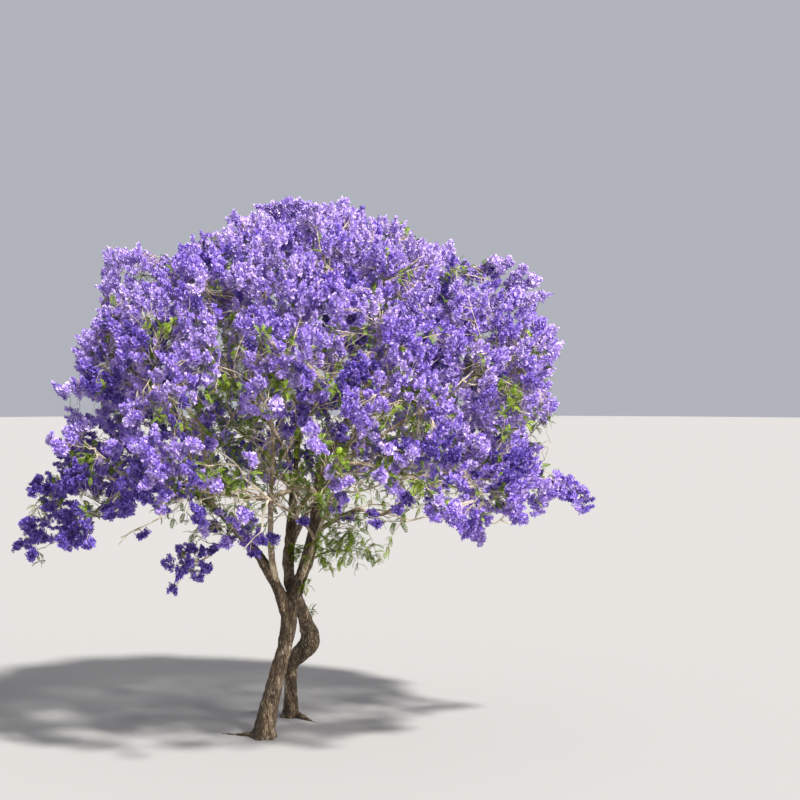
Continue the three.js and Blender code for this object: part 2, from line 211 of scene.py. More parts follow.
# The photograph's camera: level distance, height and side step from the tree, focal length in pixels
CAMERA_BACK = 31.75
CAMERA_UP = 6.843
CAMERA_SIDE = 2.411
FOCAL_PIXELS = 1804
PHOTO_PIXELS = 800
HORIZON_ROW = 351

# Places in the photograph, in pixels, where the dome is thin: column, row, spread in degrees, loss
THIN_PLACES = [
    (245, 478, 14, 0.95), (330, 462, 9, 0.7), (180, 440, 7, 0.5), (118, 545, 9, 0.8), (85, 415, 7, 0.6),
    (440, 530, 8, 0.6), (212, 300, 3.6, 0.9), (471, 370, 4.4, 1), (522, 412, 5.5, 1),
    (540, 404, 3.5, 0.7), (548, 428, 4, 0.9), (405, 425, 6, 0.6), (372, 500, 8, 0.7),
    (150, 325, 3.5, 0.7),
]
# Openings that the background shows through, and gaps in the near side alone: column, row, reach in pixels
OPENINGS = [
    (47, 425, 10), (48, 405, 10), (58, 372, 9), (76, 404, 5), (88, 405, 5), (90, 437, 4), (104, 434, 3),
    (42, 466, 5), (72, 499, 4), (87, 498, 5), (100, 504, 4), (99, 520, 5), (98, 551, 6), (60, 527, 2),
    (104, 562, 12), (102, 538, 7), (114, 535, 11), (131, 530, 12), (150, 520, 10), (170, 514, 7),
    (185, 512, 5), (44, 550, 4), (65, 564, 7), (27, 528, 2), (140, 505, 3), (155, 497, 2), (560, 446, 8),
    (558, 463, 8), (434, 531, 5), (449, 533, 5), (518, 540, 6), (538, 432, 4), (551, 431, 6),
]
GAPS = [
    (512, 404, 10), (524, 416, 10), (537, 424, 7), (507, 391, 6), (545, 438, 5), (473, 372, 9),
    (466, 362, 4), (388, 421, 7), (400, 430, 7), (408, 417, 8), (398, 408, 4), (422, 428, 5),
    (440, 358, 3), (352, 350, 3), (360, 340, 3), (337, 364, 3), (320, 378, 4), (332, 385, 2),
    (316, 405, 5), (328, 409, 4), (330, 430, 5), (352, 430, 4), (371, 432, 4), (334, 451, 4),
    (346, 447, 4), (284, 389, 4), (275, 383, 3), (259, 403, 4), (270, 405, 5), (282, 425, 3),
    (286, 441, 5), (297, 450, 5), (281, 455, 5), (235, 366, 6), (246, 372, 5), (229, 385, 6),
    (222, 400, 6), (234, 410, 5), (226, 424, 4), (266, 341, 3), (286, 344, 3), (145, 322, 3),
    (157, 326, 5), (169, 325, 4), (178, 331, 2), (213, 293, 5), (224, 297, 3), (206, 305, 3),
    (452, 263, 2), (118, 427, 4), (116, 434, 3), (150, 412, 4), (161, 419, 4), (148, 428, 3),
    (168, 428, 4), (180, 418, 5), (192, 411, 3), (194, 431, 4), (172, 402, 2), (68, 462, 2),
    (120, 470, 2), (134, 474, 3), (107, 493, 3), (186, 437, 3), (427, 466, 3), (416, 487, 4),
    (451, 491, 4), (476, 470, 3), (440, 481, 2), (420, 497, 3),
]
# The low lobe is thin all round: azimuth, angle from the top, change, spread
THIN_LOBE = (180, 100, -0.46, 24)
LEAST_FULL = 0.1

# Fine growth: each panicle belongs to the spray it is nearest to, and the sprays end in humps
CROWN_PANICLES = 5300
UNDER_PANICLES = 1500
UNDER_DEPTH = 0.11
PANICLE_LENGTH = 0.27
PANICLE_GIRTH = 0.1
LENGTH_SHARES = (0.8, 1.15)
GIRTH_SHARES = (0.85, 1.15)
# Flowers stand round this share of a panicle's axis
FLOWERING_SHARE = 0.85
HUMP_REACH = 0.42
HUMP_SAG = 0.26
SAG_SCATTER = (-0.04, 0.12)
AZIMUTH_SCATTER = 2
ZENITH_SCATTER = 1
# A panicle points away from the crown's centre and from its spray, and a little upwards
AXIS_OUTWARD = 0.8
AXIS_ASIDE = 0.9
AXIS_UPWARD = 0.3
AXIS_SCATTER = 0.2
TONE_SCATTER = 0.4
# Its stalk leaves the spray where that is near, and by this much below it
STALK_RISE = 0.12
RISE_COST = 2
STALK_BEND = 0.1
STALK_RADII = (0.0055, 0.0045, 0.0015)

# Flowers of a panicle: count and length, and as shares where they stand along its axis, how far beside it,
# how their length falls off from its foot to its tip, and how it varies
FLOWERS = {
    "outer": (4, 0.088, (0.1, 1.02), (0.8, 1.1), (1.05, 0.3), (0.85, 1.15)),
    "inner": (16, 0.084, (0, 1), (0.3, 0.95), (1.1, 0.35), (0.8, 1.15)),
    "under": (12, 0.11, (0, 1), (0.3, 0.95), (1.1, 0.35), (0.8, 1.15)),
}
PETALS_EACH = 5
# Wedges: widths in degrees, and the reach and depth of their mouths as shares of their length
WEDGE_WIDTHS = {"inner": 52, "under": 60}
WEDGE_REACH = 0.5
WEDGE_DEPTHS = (-0.35, 0.25)
# Corners of a kite: reach and step forward as shares of its length, turn in degrees
KITE_CORNERS = [(0.34, -0.12, 0), (0.55, 0.02, 30), (0.34, -0.12, 60)]
# The panicle narrows to its tip, and its flowers lean forward and hang a little
PANICLE_TAPER = 0.72
TAPER_POWER = 1.3
FLOWER_FORWARD = (0.15, 0.3)
FLOWER_RADIAL = 0.9
FLOWER_LEAN = (0.15, 0.9)
FLOWER_HANG = 0.25
FLOWER_SCATTER = 0.35
TURN_SCATTER = 0.3

# Leaves: how they turn round a twig, reach forward along it and lift, and their sizes as shares
LEAF_LENGTH = 0.2
LEAF_TURN = (-0.4, 0.4)
LEAF_FORWARD = (0.1, 0.9)
LEAF_LIFT = (-0.3, 0.35)
LEAF_SIZES = (0.65, 1.15)
LEAF_ROLL = 0.25
TUFT_LENGTH = 0.05
# A leaf one unit long: how it rises and hangs, and the pairs of blades along its stem
LEAF_RISE = 0.10
LEAF_HANG = 0.22
LEAF_STEM = 0.01
BLADE_PAIRS = 6
BLADE_SPAN = (0.14, 0.96)
BLADE_WAY = (0.62, 0.78, -0.16)
BLADE_WIDTH = 0.078
BLADE_WIDEST = 0.36
# Blades are longest in the middle: least length, gain, and the stretch of a sine that it follows
BLADE_LEAST = 0.03
BLADE_GAIN = 0.34
BLADE_STRETCH = (0.16, 0.72)
BLADE_SAG = 0.02
# Sprouts among the blossom are this many, and stand at least these degrees from the top
SPROUTS = 150
SPROUT_ZENITH = 25
SHOOT_LENGTH = 0.12

# The thinner the dome is, the more of its sprays are bare or leafy, and the less blossom covers round them
BARE_GAIN = 1.1
BARE_START = 0.15
LEAFY_ODDS = 0.12
LEAFY_GAIN = 0.7
LEAST_COVER = 0.16
COVER_SHARES = (0.85, 1.25)

# Twigs: stations, how far those between are pushed aside, radii at both ends, sides
TWIG_KINDS = {
    "fork": (4, 0, (0.021, 0.017), 6),
    "hub": (6, 0.015, (0.016, 0.009), 5),
    "spray": (7, 0.016, (0.012, 0.0055), 4),
    "side": (7, 0.022, (0.015, 0.005), 3),
    "side_branch": (4, 0.015, (0.008, 0.004), 3),
    "seen": (6, 0.012, (0.01, 0.005), 3),
    "low": (6, 0.012, (0.008, 0.004), 3),
    "inner_hub": (5, 0.01, (0.014, 0.008), 4),
    "inner_spray": (5, 0.01, (0.008, 0.004), 3),
}
FORK_OVERLAP = 0.05
# A twig's curve leaves towards a turn this far out, and its handles come this near to the turn
ARC_TURN = 0.4
ARC_LEAVING = 0.67
ARC_ARRIVING = 0.5
# Side twigs stand along the boughs, above a height: from one share of the bough to another
SIDE_SHARES = (0.3, 0.97)
SIDE_STEP = 0.19
SIDE_LOWEST = 3.4
SIDE_LENGTHS = (0.45, 1.1)
SIDE_FORWARD = 0.7
SIDE_LIFT = 0.25
SIDE_PROBE = 0.02
BRANCH_LENGTHS = (0.25, 0.5)
BRANCH_LEAVES = 0.6

# The blossom billows: creases between, with leaves in them
BILLOW_SCALE = 3.2
CREASE_WIDTH = 0.075
CREASE_SAG = 0.24
CREASE_LEAVES = 0.5
GAP_LEAVES = 0.3
# How far flowers reach past their panicle's axis, in pixels
FLOWER_PIXELS = 3

# What stands apart in the photograph starts on a limb or spray, at one of these shares of its length
CARRIER_SHARES = np.linspace(0.1, 1, 60)
# The step aside in pixels that a metre nearer outweighs
STEP_ASIDE = 6.5
SEEN_NEARER = 0.1
SEEN_LIFT = 0.4
# The clusters' blossom is paler than the rest, as painted light: mean tone and scatter by chance
CLUSTER_PAINTED_LIGHT_TONE = (-1.4, 0.5)
CLUSTER_SCATTER = 0.025
CLUSTER_SIZE = 0.9
CLUSTER_FORWARD = 0.6
CLUSTER_LIFT = 0.1

# Clusters of blossom that stand apart in the photograph: column, row, panicles
SEEN_CLUSTERS = [
    (180, 452, 4), (195, 447, 5), (211, 445, 4), (181, 470, 4), (165, 467, 4), (200, 482, 6),
    (216, 486, 6), (255, 444, 5), (252, 457, 4), (243, 515, 5), (246, 530, 6), (214, 528, 6),
    (262, 541, 3), (271, 537, 3), (253, 553, 3), (285, 468, 4), (288, 432, 4), (331, 470, 4),
    (335, 486, 5), (342, 497, 4), (337, 507, 3), (350, 482, 3), (381, 476, 5), (392, 484, 5),
    (402, 496, 4), (398, 510, 4), (372, 513, 3), (375, 523, 2), (346, 518, 2), (303, 522, 2),
    (340, 438, 4), (438, 501, 4), (455, 508, 3), (480, 537, 4), (18, 546, 3), (30, 556, 3), (62, 541, 5),
    (87, 545, 3), (142, 536, 2), (190, 550, 3), (205, 570, 2), (174, 589, 2), (213, 550, 3),
    (160, 510, 2), (66, 390, 3), (72, 430, 3), (572, 498, 4), (560, 478, 5), (572, 482, 5),
    (584, 491, 4), (562, 493, 5), (207, 380, 6), (213, 370, 4), (245, 387, 5), (250, 395, 4),
    (262, 385, 4), (270, 364, 5), (243, 410, 5), (248, 420, 6), (258, 427, 4), (276, 405, 5),
    (281, 414, 4), (284, 374, 4), (293, 382, 5), (303, 409, 5), (306, 420, 5), (297, 416, 4),
    (310, 397, 4), (321, 397, 4), (340, 429, 4), (355, 409, 5), (365, 418, 5), (371, 425, 4),
    (311, 445, 4), (322, 450, 3), (361, 450, 4), (375, 446, 5), (388, 450, 4), (401, 460, 4),
    (410, 454, 4), (395, 470, 3), (226, 437, 3), (208, 419, 3), (118, 417, 4), (108, 410, 5),
    (130, 420, 4), (175, 447, 5), (190, 443, 4), (50, 440, 4), (57, 446, 5), (64, 452, 5), (37, 481, 4),
    (34, 490, 4), (46, 488, 4), (70, 485, 4), (92, 422, 4), (83, 425, 3), (112, 447, 6), (106, 470, 5),
    (121, 482, 5), (92, 483, 4), (153, 469, 5), (106, 508, 3), (125, 507, 4), (136, 492, 3),
    (147, 486, 3), (165, 494, 3), (262, 210, 6), (270, 208, 6), (279, 207, 6), (288, 203, 6),
    (296, 204, 6), (304, 207, 6), (313, 209, 6), (322, 209, 6), (275, 215, 5), (285, 213, 5),
    (294, 213, 5), (302, 215, 4), (495, 262, 5), (500, 268, 6), (515, 275, 6), (528, 284, 6),
    (520, 290, 6), (532, 297, 6), (510, 284, 6), (508, 262, 4), (522, 270, 4), (536, 280, 4),
    (541, 294, 4),
]
# Sprouts of young leaves in the same way: column, row
SEEN_SPROUTS = [
    (225, 437), (227, 384), (233, 390), (285, 390), (276, 383), (331, 393), (209, 434), (372, 432),
    (345, 447), (400, 431), (411, 421), (396, 409), (150, 324), (161, 328), (171, 324), (202, 409),
    (207, 396), (176, 490), (296, 452), (304, 462), (337, 455), (383, 501), (361, 499), (415, 484),
    (421, 506), (465, 516), (485, 516), (279, 268), (306, 271), (234, 318), (266, 334), (291, 337),
    (218, 285), (330, 332), (413, 425), (454, 397), (521, 367), (508, 396), (515, 406), (528, 423),
    (503, 411), (298, 550), (306, 560), (372, 556), (352, 540), (330, 570), (318, 545), (305, 587),
    (325, 537), (334, 531), (343, 539), (329, 549), (339, 549), (322, 557), (351, 533), (332, 540),
    (347, 545), (378, 561), (385, 553), (294, 556), (294, 546),
]
# Low shoots on the stems and beside the fork: column, row, depth
LOW_SPROUTS = [(313, 612, 0.9), (308, 585, 0.4), (298, 556, 0.1)]

# Bare branches where the blossom is thin, pale with painted sunlight, each a route of columns and rows from
# what carries it
BARE_BRANCHES = [
    [(273, 499), (254, 486), (245, 479), (237, 465), (218, 451), (206, 446)],
    [(237, 466), (223, 464), (211, 466), (193, 463)],
    [(223, 464), (219, 470), (214, 475)],
    [(258, 489), (243, 489), (230, 491), (216, 496), (200, 501), (193, 514)],
    [(240, 491), (236, 499), (231, 506)],
    [(246, 490), (251, 497), (256, 502)],
    [(286, 496), (270, 501), (255, 500)],
    [(266, 503), (263, 516), (261, 531), (254, 538), (243, 550)],
    [(190, 495), (176, 509), (170, 511), (168, 518)],
    [(282, 478), (267, 469), (272, 475), (289, 486)],
    [(258, 456), (263, 447), (276, 438), (284, 436)],
    [(294, 492), (300, 509), (297, 516)],
    [(314, 500), (305, 507), (300, 505)],
    [(318, 503), (311, 510), (304, 513)],
    [(333, 540), (351, 529), (363, 523)],
    [(345, 514), (356, 508), (369, 504), (372, 493)],
    [(369, 505), (383, 505), (390, 507)],
    [(352, 514), (378, 510), (388, 514), (399, 517), (410, 520)],
    [(352, 478), (363, 474), (370, 470), (377, 473)],
    [(399, 517), (405, 521), (415, 520), (426, 517), (436, 518), (448, 520), (461, 520)],
    [(415, 520), (417, 512)],
    [(433, 519), (436, 510), (447, 510), (452, 519), (456, 524), (465, 534)],
    [(455, 498), (470, 511), (480, 517)],
    [(472, 505), (486, 509), (501, 509), (508, 512)],
    [(510, 512), (501, 520), (494, 524), (488, 519)],
    [(501, 520), (508, 523), (515, 522)],
    [(430, 484), (437, 483), (443, 486), (454, 486), (456, 491)],
    [(471, 375), (476, 368), (470, 360)],
    [(465, 382), (474, 385), (483, 380)],
    [(498, 400), (510, 388), (520, 383)],
    [(500, 396), (512, 402), (524, 399)],
    [(505, 415), (517, 410), (530, 414)],
    [(226, 321), (212, 312), (203, 305)],
    [(240, 314), (245, 308), (252, 305)],
    [(106, 505), (116, 497), (128, 491), (142, 485)],
    [(90, 520), (105, 515), (118, 510), (128, 505)],
    [(165, 510), (150, 523), (120, 538)],
    [(139, 526), (128, 534), (118, 545)],
    [(185, 440), (198, 436), (207, 428)],
    [(172, 446), (185, 438), (196, 440)],
]
BARE_RADII = (0.021, 0.009)
BARE_SIDES = 5
BARE_LEAN = 0.2

# Skins: stations and sides of the tubes, depth of the relief, and voxels and smoothing of the stems
STEM_STATIONS = 90
STEM_SIDES = 28
STEM_RELIEF = 0.007
ROOT_STATIONS = 40
ROOT_SIDES = 14
BOUGH_STATIONS = 30
BOUGH_SIDES = 9
BOUGH_RELIEF = 0.003
STEM_VOXEL = 0.022
STEM_SMOOTHING = 4
# The bark's relief: scale of the fissures across and along, their width, scale and height of the swellings
FISSURE_SCALE = (14, 14, 4.5)
FISSURE_WIDTH = 0.2
SWELLINGS = [(3.4, 3), (9, 1.6)]
GRAIN_SCALE = 24
GRAIN_HEIGHT = 0.5

# Shades of blossom, from the palest: name, darker and lighter colour, share of the panicles. Which panicle
# takes which shade is painted light and shade by place, and chance
PETALS = [
    ("pale", (0.38, 0.24, 0.77), (0.79, 0.68, 0.9), 0.24),
    ("lilac", (0.29, 0.16, 0.71), (0.71, 0.59, 0.9), 0.28),
    ("violet", (0.20, 0.10, 0.62), (0.62, 0.48, 0.9), 0.29),
    ("deep", (0.07, 0.032, 0.32), (0.30, 0.21, 0.66), 0.19),
]
# Painted light in the blossom's shades: paler with height and on the lower right, where the key light falls,
# and on the far left painted shade low down with a little painted light higher up
PAINTED_LIGHT_HIGH_UP = 1.2
PAINTED_LIGHT_LOW_RIGHT = 1.3
PAINTED_LIGHT_AND_SHADE_FAR_LEFT = 5
# Painted shade that makes it deeper: at the right tip, up to a limit, and deep in the crown; chance, the
# blossom's own tone, adds to it
PAINTED_SHADE_RIGHT_TIP = 90
MOST_PAINTED_SHADE_AT_TIP = 1.4
PAINTED_SHADE_INSIDE = 2
DEEP_CHANCE = 0.55
# Darker and lighter colour of the blades
LEAF_SHADES = {
    "leaf": [(0.04, 0.085, 0.004), (0.19, 0.27, 0.018)],
    "sprout": [(0.09, 0.165, 0.006), (0.30, 0.40, 0.03)],
}
# Wood from the darkest to the lightest, for twigs with places on the ramp. The twigs are lightened partly as
# painted sunlight, and the bare branches' pale tones are painted sunlight
TWIG_WOOD_AND_PAINTED_SUN_TONES = [(0.3, (0.26, 0.20, 0.13)), (0.5, (0.5, 0.42, 0.29)), (0.7, (0.7, 0.62, 0.47))]
BARE_PAINTED_SUN_TONES = [(0.3, (0.5, 0.42, 0.3)), (0.5, (0.75, 0.66, 0.5)), (0.7, (0.9, 0.82, 0.66))]
STEM_TONES = [(0.05, 0.032, 0.018), (0.105, 0.072, 0.042), (0.2, 0.145, 0.09), (0.52, 0.43, 0.31)]
# The boughs' tones are partly their bark's and partly painted sunlight, lighter than the stems'
BOUGH_BARK_AND_PAINTED_SUN_TONES = [(0.2, 0.14, 0.085), (0.4, 0.31, 0.21), (0.64, 0.54, 0.39), (0.82, 0.74, 0.6)]
BARK_STOPS = (0.36, 0.5, 0.58, 0.66)
STEM_FURROW = (0.3, 0.27, 0.24)
BOUGH_FURROW = (0.6, 0.57, 0.52)

# A high key light from the right and a low one that reaches the stems: strength, spread, colour, direction
SUNS = {
    "key": (6.5, 6, (1, 0.965, 0.94), (-0.43, 0.52, -0.87)),
    "low": (2.1, 20, (1, 0.94, 0.86), (-0.85, 0.5, -0.22)),
}
SKY_COLOUR = (0.88, 0.91, 1, 1)
SKY_STRENGTH = 0.5
FLOOR_COLOUR = (0.35, 0.346, 0.335, 1)
FLOOR_RADIUS = 160


# Small helpers

def unit(v):
    v = np.asarray(v, float)
    return v / np.linalg.norm(v, axis=-1, keepdims=True)


def seeded(seed):
    """The source's repeatable stream of numbers from 0 to 1."""
    state = seed

    def deal():
        nonlocal state
        state = (state * STREAM_FACTOR) % STREAM_MODULUS
        return state / STREAM_MODULUS

    return deal


deal = seeded(SEED)
rng = np.random.default_rng(SEED)


# Places on the dome

def heading(azimuth, zenith):
    a = math.radians(azimuth)
    z = math.radians(zenith)
    return np.array([math.sin(z) * math.cos(a), math.sin(z) * math.sin(a), math.cos(z)])


def degrees_between(a, b):
    return math.degrees(math.acos(max(-1.0, min(1.0, float(unit(a) @ unit(b))))))


def bumps_from(rows):
    return [(heading(azimuth, zenith), height, spread) for azimuth, zenith, height, spread in rows]


def bumps_at(direction, bumps, level):
    """A level with its bumps: each has the direction of its centre, a height and a spread in degrees."""
    for centre, height, spread in bumps:
        level += height * math.exp(-((degrees_between(direction, centre) / spread) ** 2))
    return level


SWELL_BUMPS = bumps_from(SWELLS)
TRIM_BUMPS = bumps_from(TRIMS)


def dome_share(direction, depth):
    """The dome's reach in a direction, as a share of the plain dome's, for what lies at a depth."""
    past_boughs = max(0, (depth - TIP_DEPTH) / (1 - TIP_DEPTH))
    short = bumps_at(direction, TRIM_BUMPS, 0)
    return bumps_at(direction, SWELL_BUMPS, 1) * (1 - short * past_boughs)


def on_dome(direction, depth):
    return CROWN_CENTRE + direction * CROWN_REACH * depth * dome_share(direction, depth)


def brim_at(azimuth):
    drops = []
    for centre, spread, drop in DROOPS:
        away = abs((azimuth - centre + 180) % 360 - 180)
        drops.append(drop * math.exp(-((away / spread) ** 2)))
    return BRIM_ZENITH + max(drops)


def unit_place(p):
    return (p - CROWN_CENTRE) / CROWN_REACH


# Limbs: a centre line with a radius at each station

class Limb:
    def __init__(self, name, curve, steps, radius_at, parent=None):
        shares = np.linspace(0, 1, steps + 1)
        self.name = name
        self.curve = curve
        self.radius_at = radius_at
        self.parent = parent
        self.points = curve(shares)
        self.radii = radius_at(shares)

    def tangent(self, i):
        before = self.points[max(i - 1, 0)]
        after = self.points[min(i + 1, len(self.points) - 1)]
        return unit(after - before)

    def length(self):
        return float(np.linalg.norm(np.diff(self.points, axis=0), axis=1).sum())


def even(values):
    return lambda shares: np.interp(shares, np.linspace(0, 1, len(values)), values)


def route_curve(route):
    points = np.asarray(route, float)
    padded = np.vstack([2 * points[0] - points[1], points, 2 * points[-1] - points[-2]])

    def at(shares):
        place = np.asarray(shares) * (len(points) - 1)
        i = np.minimum(place.astype(int), len(points) - 2)
        w = (place - i)[:, None]
        start, end = padded[i + 1], padded[i + 2]
        leave = (end - padded[i]) / 2
        arrive = (padded[i + 3] - start) / 2
        bend = 3 * (end - start) - 2 * leave - arrive
        twist = 2 * (start - end) + leave + arrive
        return start + w * leave + w**2 * bend + w**3 * twist

    return at


def bezier(a, b, c, d):
    def at(shares):
        t = np.asarray(shares)[:, None]
        return (1 - t) ** 3 * a + 3 * (1 - t) ** 2 * t * b + 3 * (1 - t) * t**2 * c + t**3 * d

    return at


def bough_radius(base, length):
    """A bough tapers to its tip and widens in a collar where it leaves its parent."""
    def at(shares):
        shares = np.asarray(shares)
        collar = 1 + BOUGH_COLLAR * np.exp(-shares * length / (COLLAR_RUN * base))
        return (base + (BOUGH_TIP - base) * shares) * collar

    return at


class Segments:
    """The straight stretches between the stations of several limbs."""

    def __init__(self, among):
        self.start = np.concatenate([limb.points[:-1] for limb in among])
        self.step = np.concatenate([np.diff(limb.points, axis=0) for limb in among])
        self.radius = np.concatenate([limb.radii[:-1] for limb in among])
        self.widen = np.concatenate([np.diff(limb.radii) for limb in among])
        self.owner = np.repeat(np.arange(len(among)), [len(limb.points) - 1 for limb in among])
        self.step_squared = (self.step**2).sum(1)

    def gaps(self, places):
        offset = places[:, None] - self.start
        share = np.clip((offset * self.step).sum(2) / self.step_squared, 0, 1)
        away = np.linalg.norm(offset - self.step * share[..., None], axis=2)
        return away - self.radius - self.widen * share


limbs = []


def add_limb(limb):
    limbs.append(limb)
    return limb


def limb_named(name):
    return next(limb for limb in limbs if limb.name == name)


# Masses keep to the places nearer to their own centre than to any other mass's

class Mass:
    def __init__(self, name, direction):
        self.name = name
        self.centre = direction * CENTRE_DEPTH
        self.tip = on_dome(direction, TIP_DEPTH)
        self.fork = on_dome(direction, FORK_DEPTH)
        self.sprays = []
        self.bough = None


masses = []
for ring_name, ring_zenith, ring_count, ring_turn in RINGS:
    for k in range(ring_count):
        direction = heading(ring_turn + 360 * k / ring_count, ring_zenith)
        masses.append(Mass(f"{ring_name}_{k + 1}", direction))
mass_centres = np.array([m.centre for m in masses])


def nearest_mass(place):
    return masses[int(np.argmin(((mass_centres - place) ** 2).sum(1)))]


def keeps_to_mass(mass, corners):
    places = unit_place(corners)
    squared = ((places[:, None] - mass_centres) ** 2).sum(2)
    own = squared[:, masses.index(mass)]
    apart = np.linalg.norm(mass_centres - mass.centre, axis=1)
    others = apart > 0
    to_border = (squared[:, others] - own[:, None]) / (2 * apart[others])
    return bool((to_border * CROWN_REACH[1] > MASS_GAP).all())


# The stems and the boughs that are seen to leave the forks

for name, (steps, radii, route) in STEMS.items():
    add_limb(Limb(name, route_curve(route), steps, even(radii)))

for name, (parent, feeds, radii, route) in MAIN_BOUGHS.items():
    mass = next(m for m in masses if m.name == feeds)
    curve = route_curve([*route, mass.tip])
    mass.bough = add_limb(Limb(name, curve, MAIN_BOUGH_STEPS, even(radii), limb_named(parent)))


# The other boughs: each mass is fed from the station that bends and crowds the least

def bough_curve(start, along, tip, outward):
    reach = tip - start
    length = np.linalg.norm(reach)
    leaving = unit(unit(reach) + along) * LEAVING_SHARE * length
    return bezier(start, start + leaving, tip - outward * ARRIVING_SHARE * length, tip)


def room_beside(segments, points, radius, parent):
    gaps = segments.gaps(points) - radius
    near = np.linalg.norm(points - points[0], axis=1) <= BESIDE_PARENT
    own = segments.owner == limbs.index(parent)
    gaps[np.ix_(near, own)] = np.inf
    return gaps.min()


def grow_bough(name, tip, outward, parents):
    segments = Segments(limbs)
    best = None
    for parent in parents:
        for i in range(2, len(parent.points) - 2):
            if parent.radii[i] < LEAST_PARENT_RADIUS:
                continue
            start = parent.points[i]
            reach = tip - start
            length = np.linalg.norm(reach)
            along = parent.tangent(i)
            curve = bough_curve(start, along, tip, outward)
            base = min(BOUGH_OF_PARENT * parent.radii[i], BOUGH_TIP + BOUGH_PER_METRE * length)
            room = room_beside(segments, curve(np.linspace(0, 1, ROOM_STATIONS)), base, parent)
            if room < LEAST_ROOM:
                continue
            starts = [limb.points[0] for limb in limbs if limb.parent]
            crowd = sum(np.linalg.norm(s - start) < CROWDING_REACH for s in starts)
            bend = 1 - along @ reach / length
            tight = max(0, WANTED_ROOM - room)
            cost = length * (1 + BEND_COST * bend) + CROWDING_COST * crowd + TIGHTNESS_COST * tight
            if best is None or cost < best[0]:
                best = (cost, curve, base, parent, length)
    _, curve, base, parent, length = best
    return add_limb(Limb(name, curve, BOUGH_STEPS, bough_radius(base, length), parent))


def inner_mass(name, parent_name, centre, reach):
    centre = np.array(centre)
    parent = limb_named(parent_name)
    outward = unit(centre - parent.points[INNER_STATION])
    tip = centre - outward * INNER_TIP_SHARE * reach[0]
    mass = Mass(name, outward)
    mass.centre = centre
    mass.bough = grow_bough("bough_" + name.split("_", 1)[1], tip, outward, [parent])
    return mass


inner_masses = [inner_mass(*row) for row in INNER_MASSES]

mid_leader = limb_named("leader").points[MAIN_BOUGH_STEPS // 2]
unfed = [m for m in masses if m.bough is None]
for mass in sorted(unfed, key=lambda m: float(np.linalg.norm(m.tip - mid_leader))):
    parents = [limb for limb in limbs if limb.parent and limb.name not in CHILDLESS]
    mass.bough = grow_bough("bough_" + mass.name, mass.tip, unit(mass.tip - CROWN_CENTRE), parents)


# Sprays

all_segments = Segments(limbs)
EDGE_SHARES = np.array([0, 0.25, 0.5, 0.75, 1])


def clear_of_limbs(corners):
    first, second = np.triu_indices(len(corners), 1)
    a, b = corners[first], corners[second]
    samples = a[:, None] + (b - a)[:, None] * EDGE_SHARES[:, None]
    return bool((all_segments.gaps(samples.reshape(-1, 3)) > TWIG_CLEARANCE).all())


def spray_corners(start, end, width, turn):
    along = unit(end - start)
    upright = np.array([1.0, 0, 0]) if abs(along[2]) > UPRIGHT else np.array([0, 0, 1.0])
    flat = unit(np.cross(upright, along))
    across = flat * math.cos(turn) + np.cross(along, flat) * math.sin(turn)
    side = np.cross(along, across) * SPRAY_FLATNESS
    angles = np.radians([0, 120, 240])[:, None]
    middle = start + (end - start) * SPRAY_WIDEST
    ring = middle + (across * np.cos(angles) + side * np.sin(angles)) * width / 2
    return np.vstack([start, ring, end])


def groups_of(sprays, most):
    """Splits the sprays across the way they spread most, until a group is small enough for one hub."""
    if len(sprays) <= most:
        return [sprays]
    tips = np.array([s["tip"] for s in sprays])
    axis = int(np.argmax(np.ptp(tips, axis=0)))
    ordered = sorted(sprays, key=lambda s: s["tip"][axis])
    half = math.ceil(len(ordered) / 2)
    return groups_of(ordered[:half], most) + groups_of(ordered[half:], most)


def crown_hub(mean):
    return on_dome(unit(unit_place(mean)), HUB_DEPTH)


def set_sprays(mass, allowed, hub_of, width):
    """Gives each hub its twig, and each spray its root on the twig and its tip."""
    mass.hubs = []
    kept = []
    for group in groups_of(mass.sprays, HUB_SPRAYS):
        hub = hub_of(np.mean([s["tip"] for s in group], axis=0))
        in_fork = mass.fork - unit(hub - mass.fork) * HUB_TWIG
        if not allowed(np.array([in_fork, hub])):
            continue
        mass.hubs.append((in_fork, hub))
        group = sorted(group, key=lambda s: s["tip"] @ (hub - in_fork))
        for i, s in enumerate(group):
            root = in_fork + (hub - in_fork) * (FIRST_ROOT + (1 - FIRST_ROOT) * (i + 0.5) / len(group))
            for length_share, width_share in SPRAY_SIZES:
                tip = root + (s["tip"] - root) * length_share
                if allowed(spray_corners(root, tip, width * width_share, s["turn"])):
                    kept.append({"root": root, "tip": tip, "leaving": unit(hub - in_fork)})
                    break
    mass.sprays = kept


for k in range(CROWN_SPRAYS):
    azimuth = (k * GOLDEN_ANGLE + (deal() - 0.5) * SCATTER_AZIMUTH) % 360
    lowest = math.cos(math.radians(brim_at(azimuth)))
    share = (k + 0.5 + (deal() - 0.5) * SCATTER_ROW) / CROWN_SPRAYS
    zenith = math.degrees(math.acos(1 - share * (1 - lowest)))
    depth = 1 - SCATTER_DEPTH * deal() ** 2
    direction = heading(azimuth, zenith)
    mass = nearest_mass(direction * depth)
    mass.sprays.append({"tip": on_dome(direction, depth), "turn": deal() * math.pi})

for mass in masses:
    set_sprays(
        mass,
        lambda corners, m=mass: keeps_to_mass(m, corners) and clear_of_limbs(corners),
        crown_hub,
        SPRAY_WIDTH,
    )

for mass, (_, _, centre, reach) in zip(inner_masses, INNER_MASSES):
    centre = np.array(centre)
    mass.fork = centre + (mass.bough.points[-1] - centre) * INNER_FORK_SHARE
    for k in range(INNER_SPRAYS):
        zenith = math.degrees(math.acos(1 - 2 * (k + 0.5) / INNER_SPRAYS))
        tip = heading(k * GOLDEN_ANGLE, zenith) * reach + centre
        mass.sprays.append({"tip": tip, "turn": deal() * math.pi})
    set_sprays(mass, clear_of_limbs, lambda mean, c=centre: (mean + c) / 2, INNER_WIDTH)


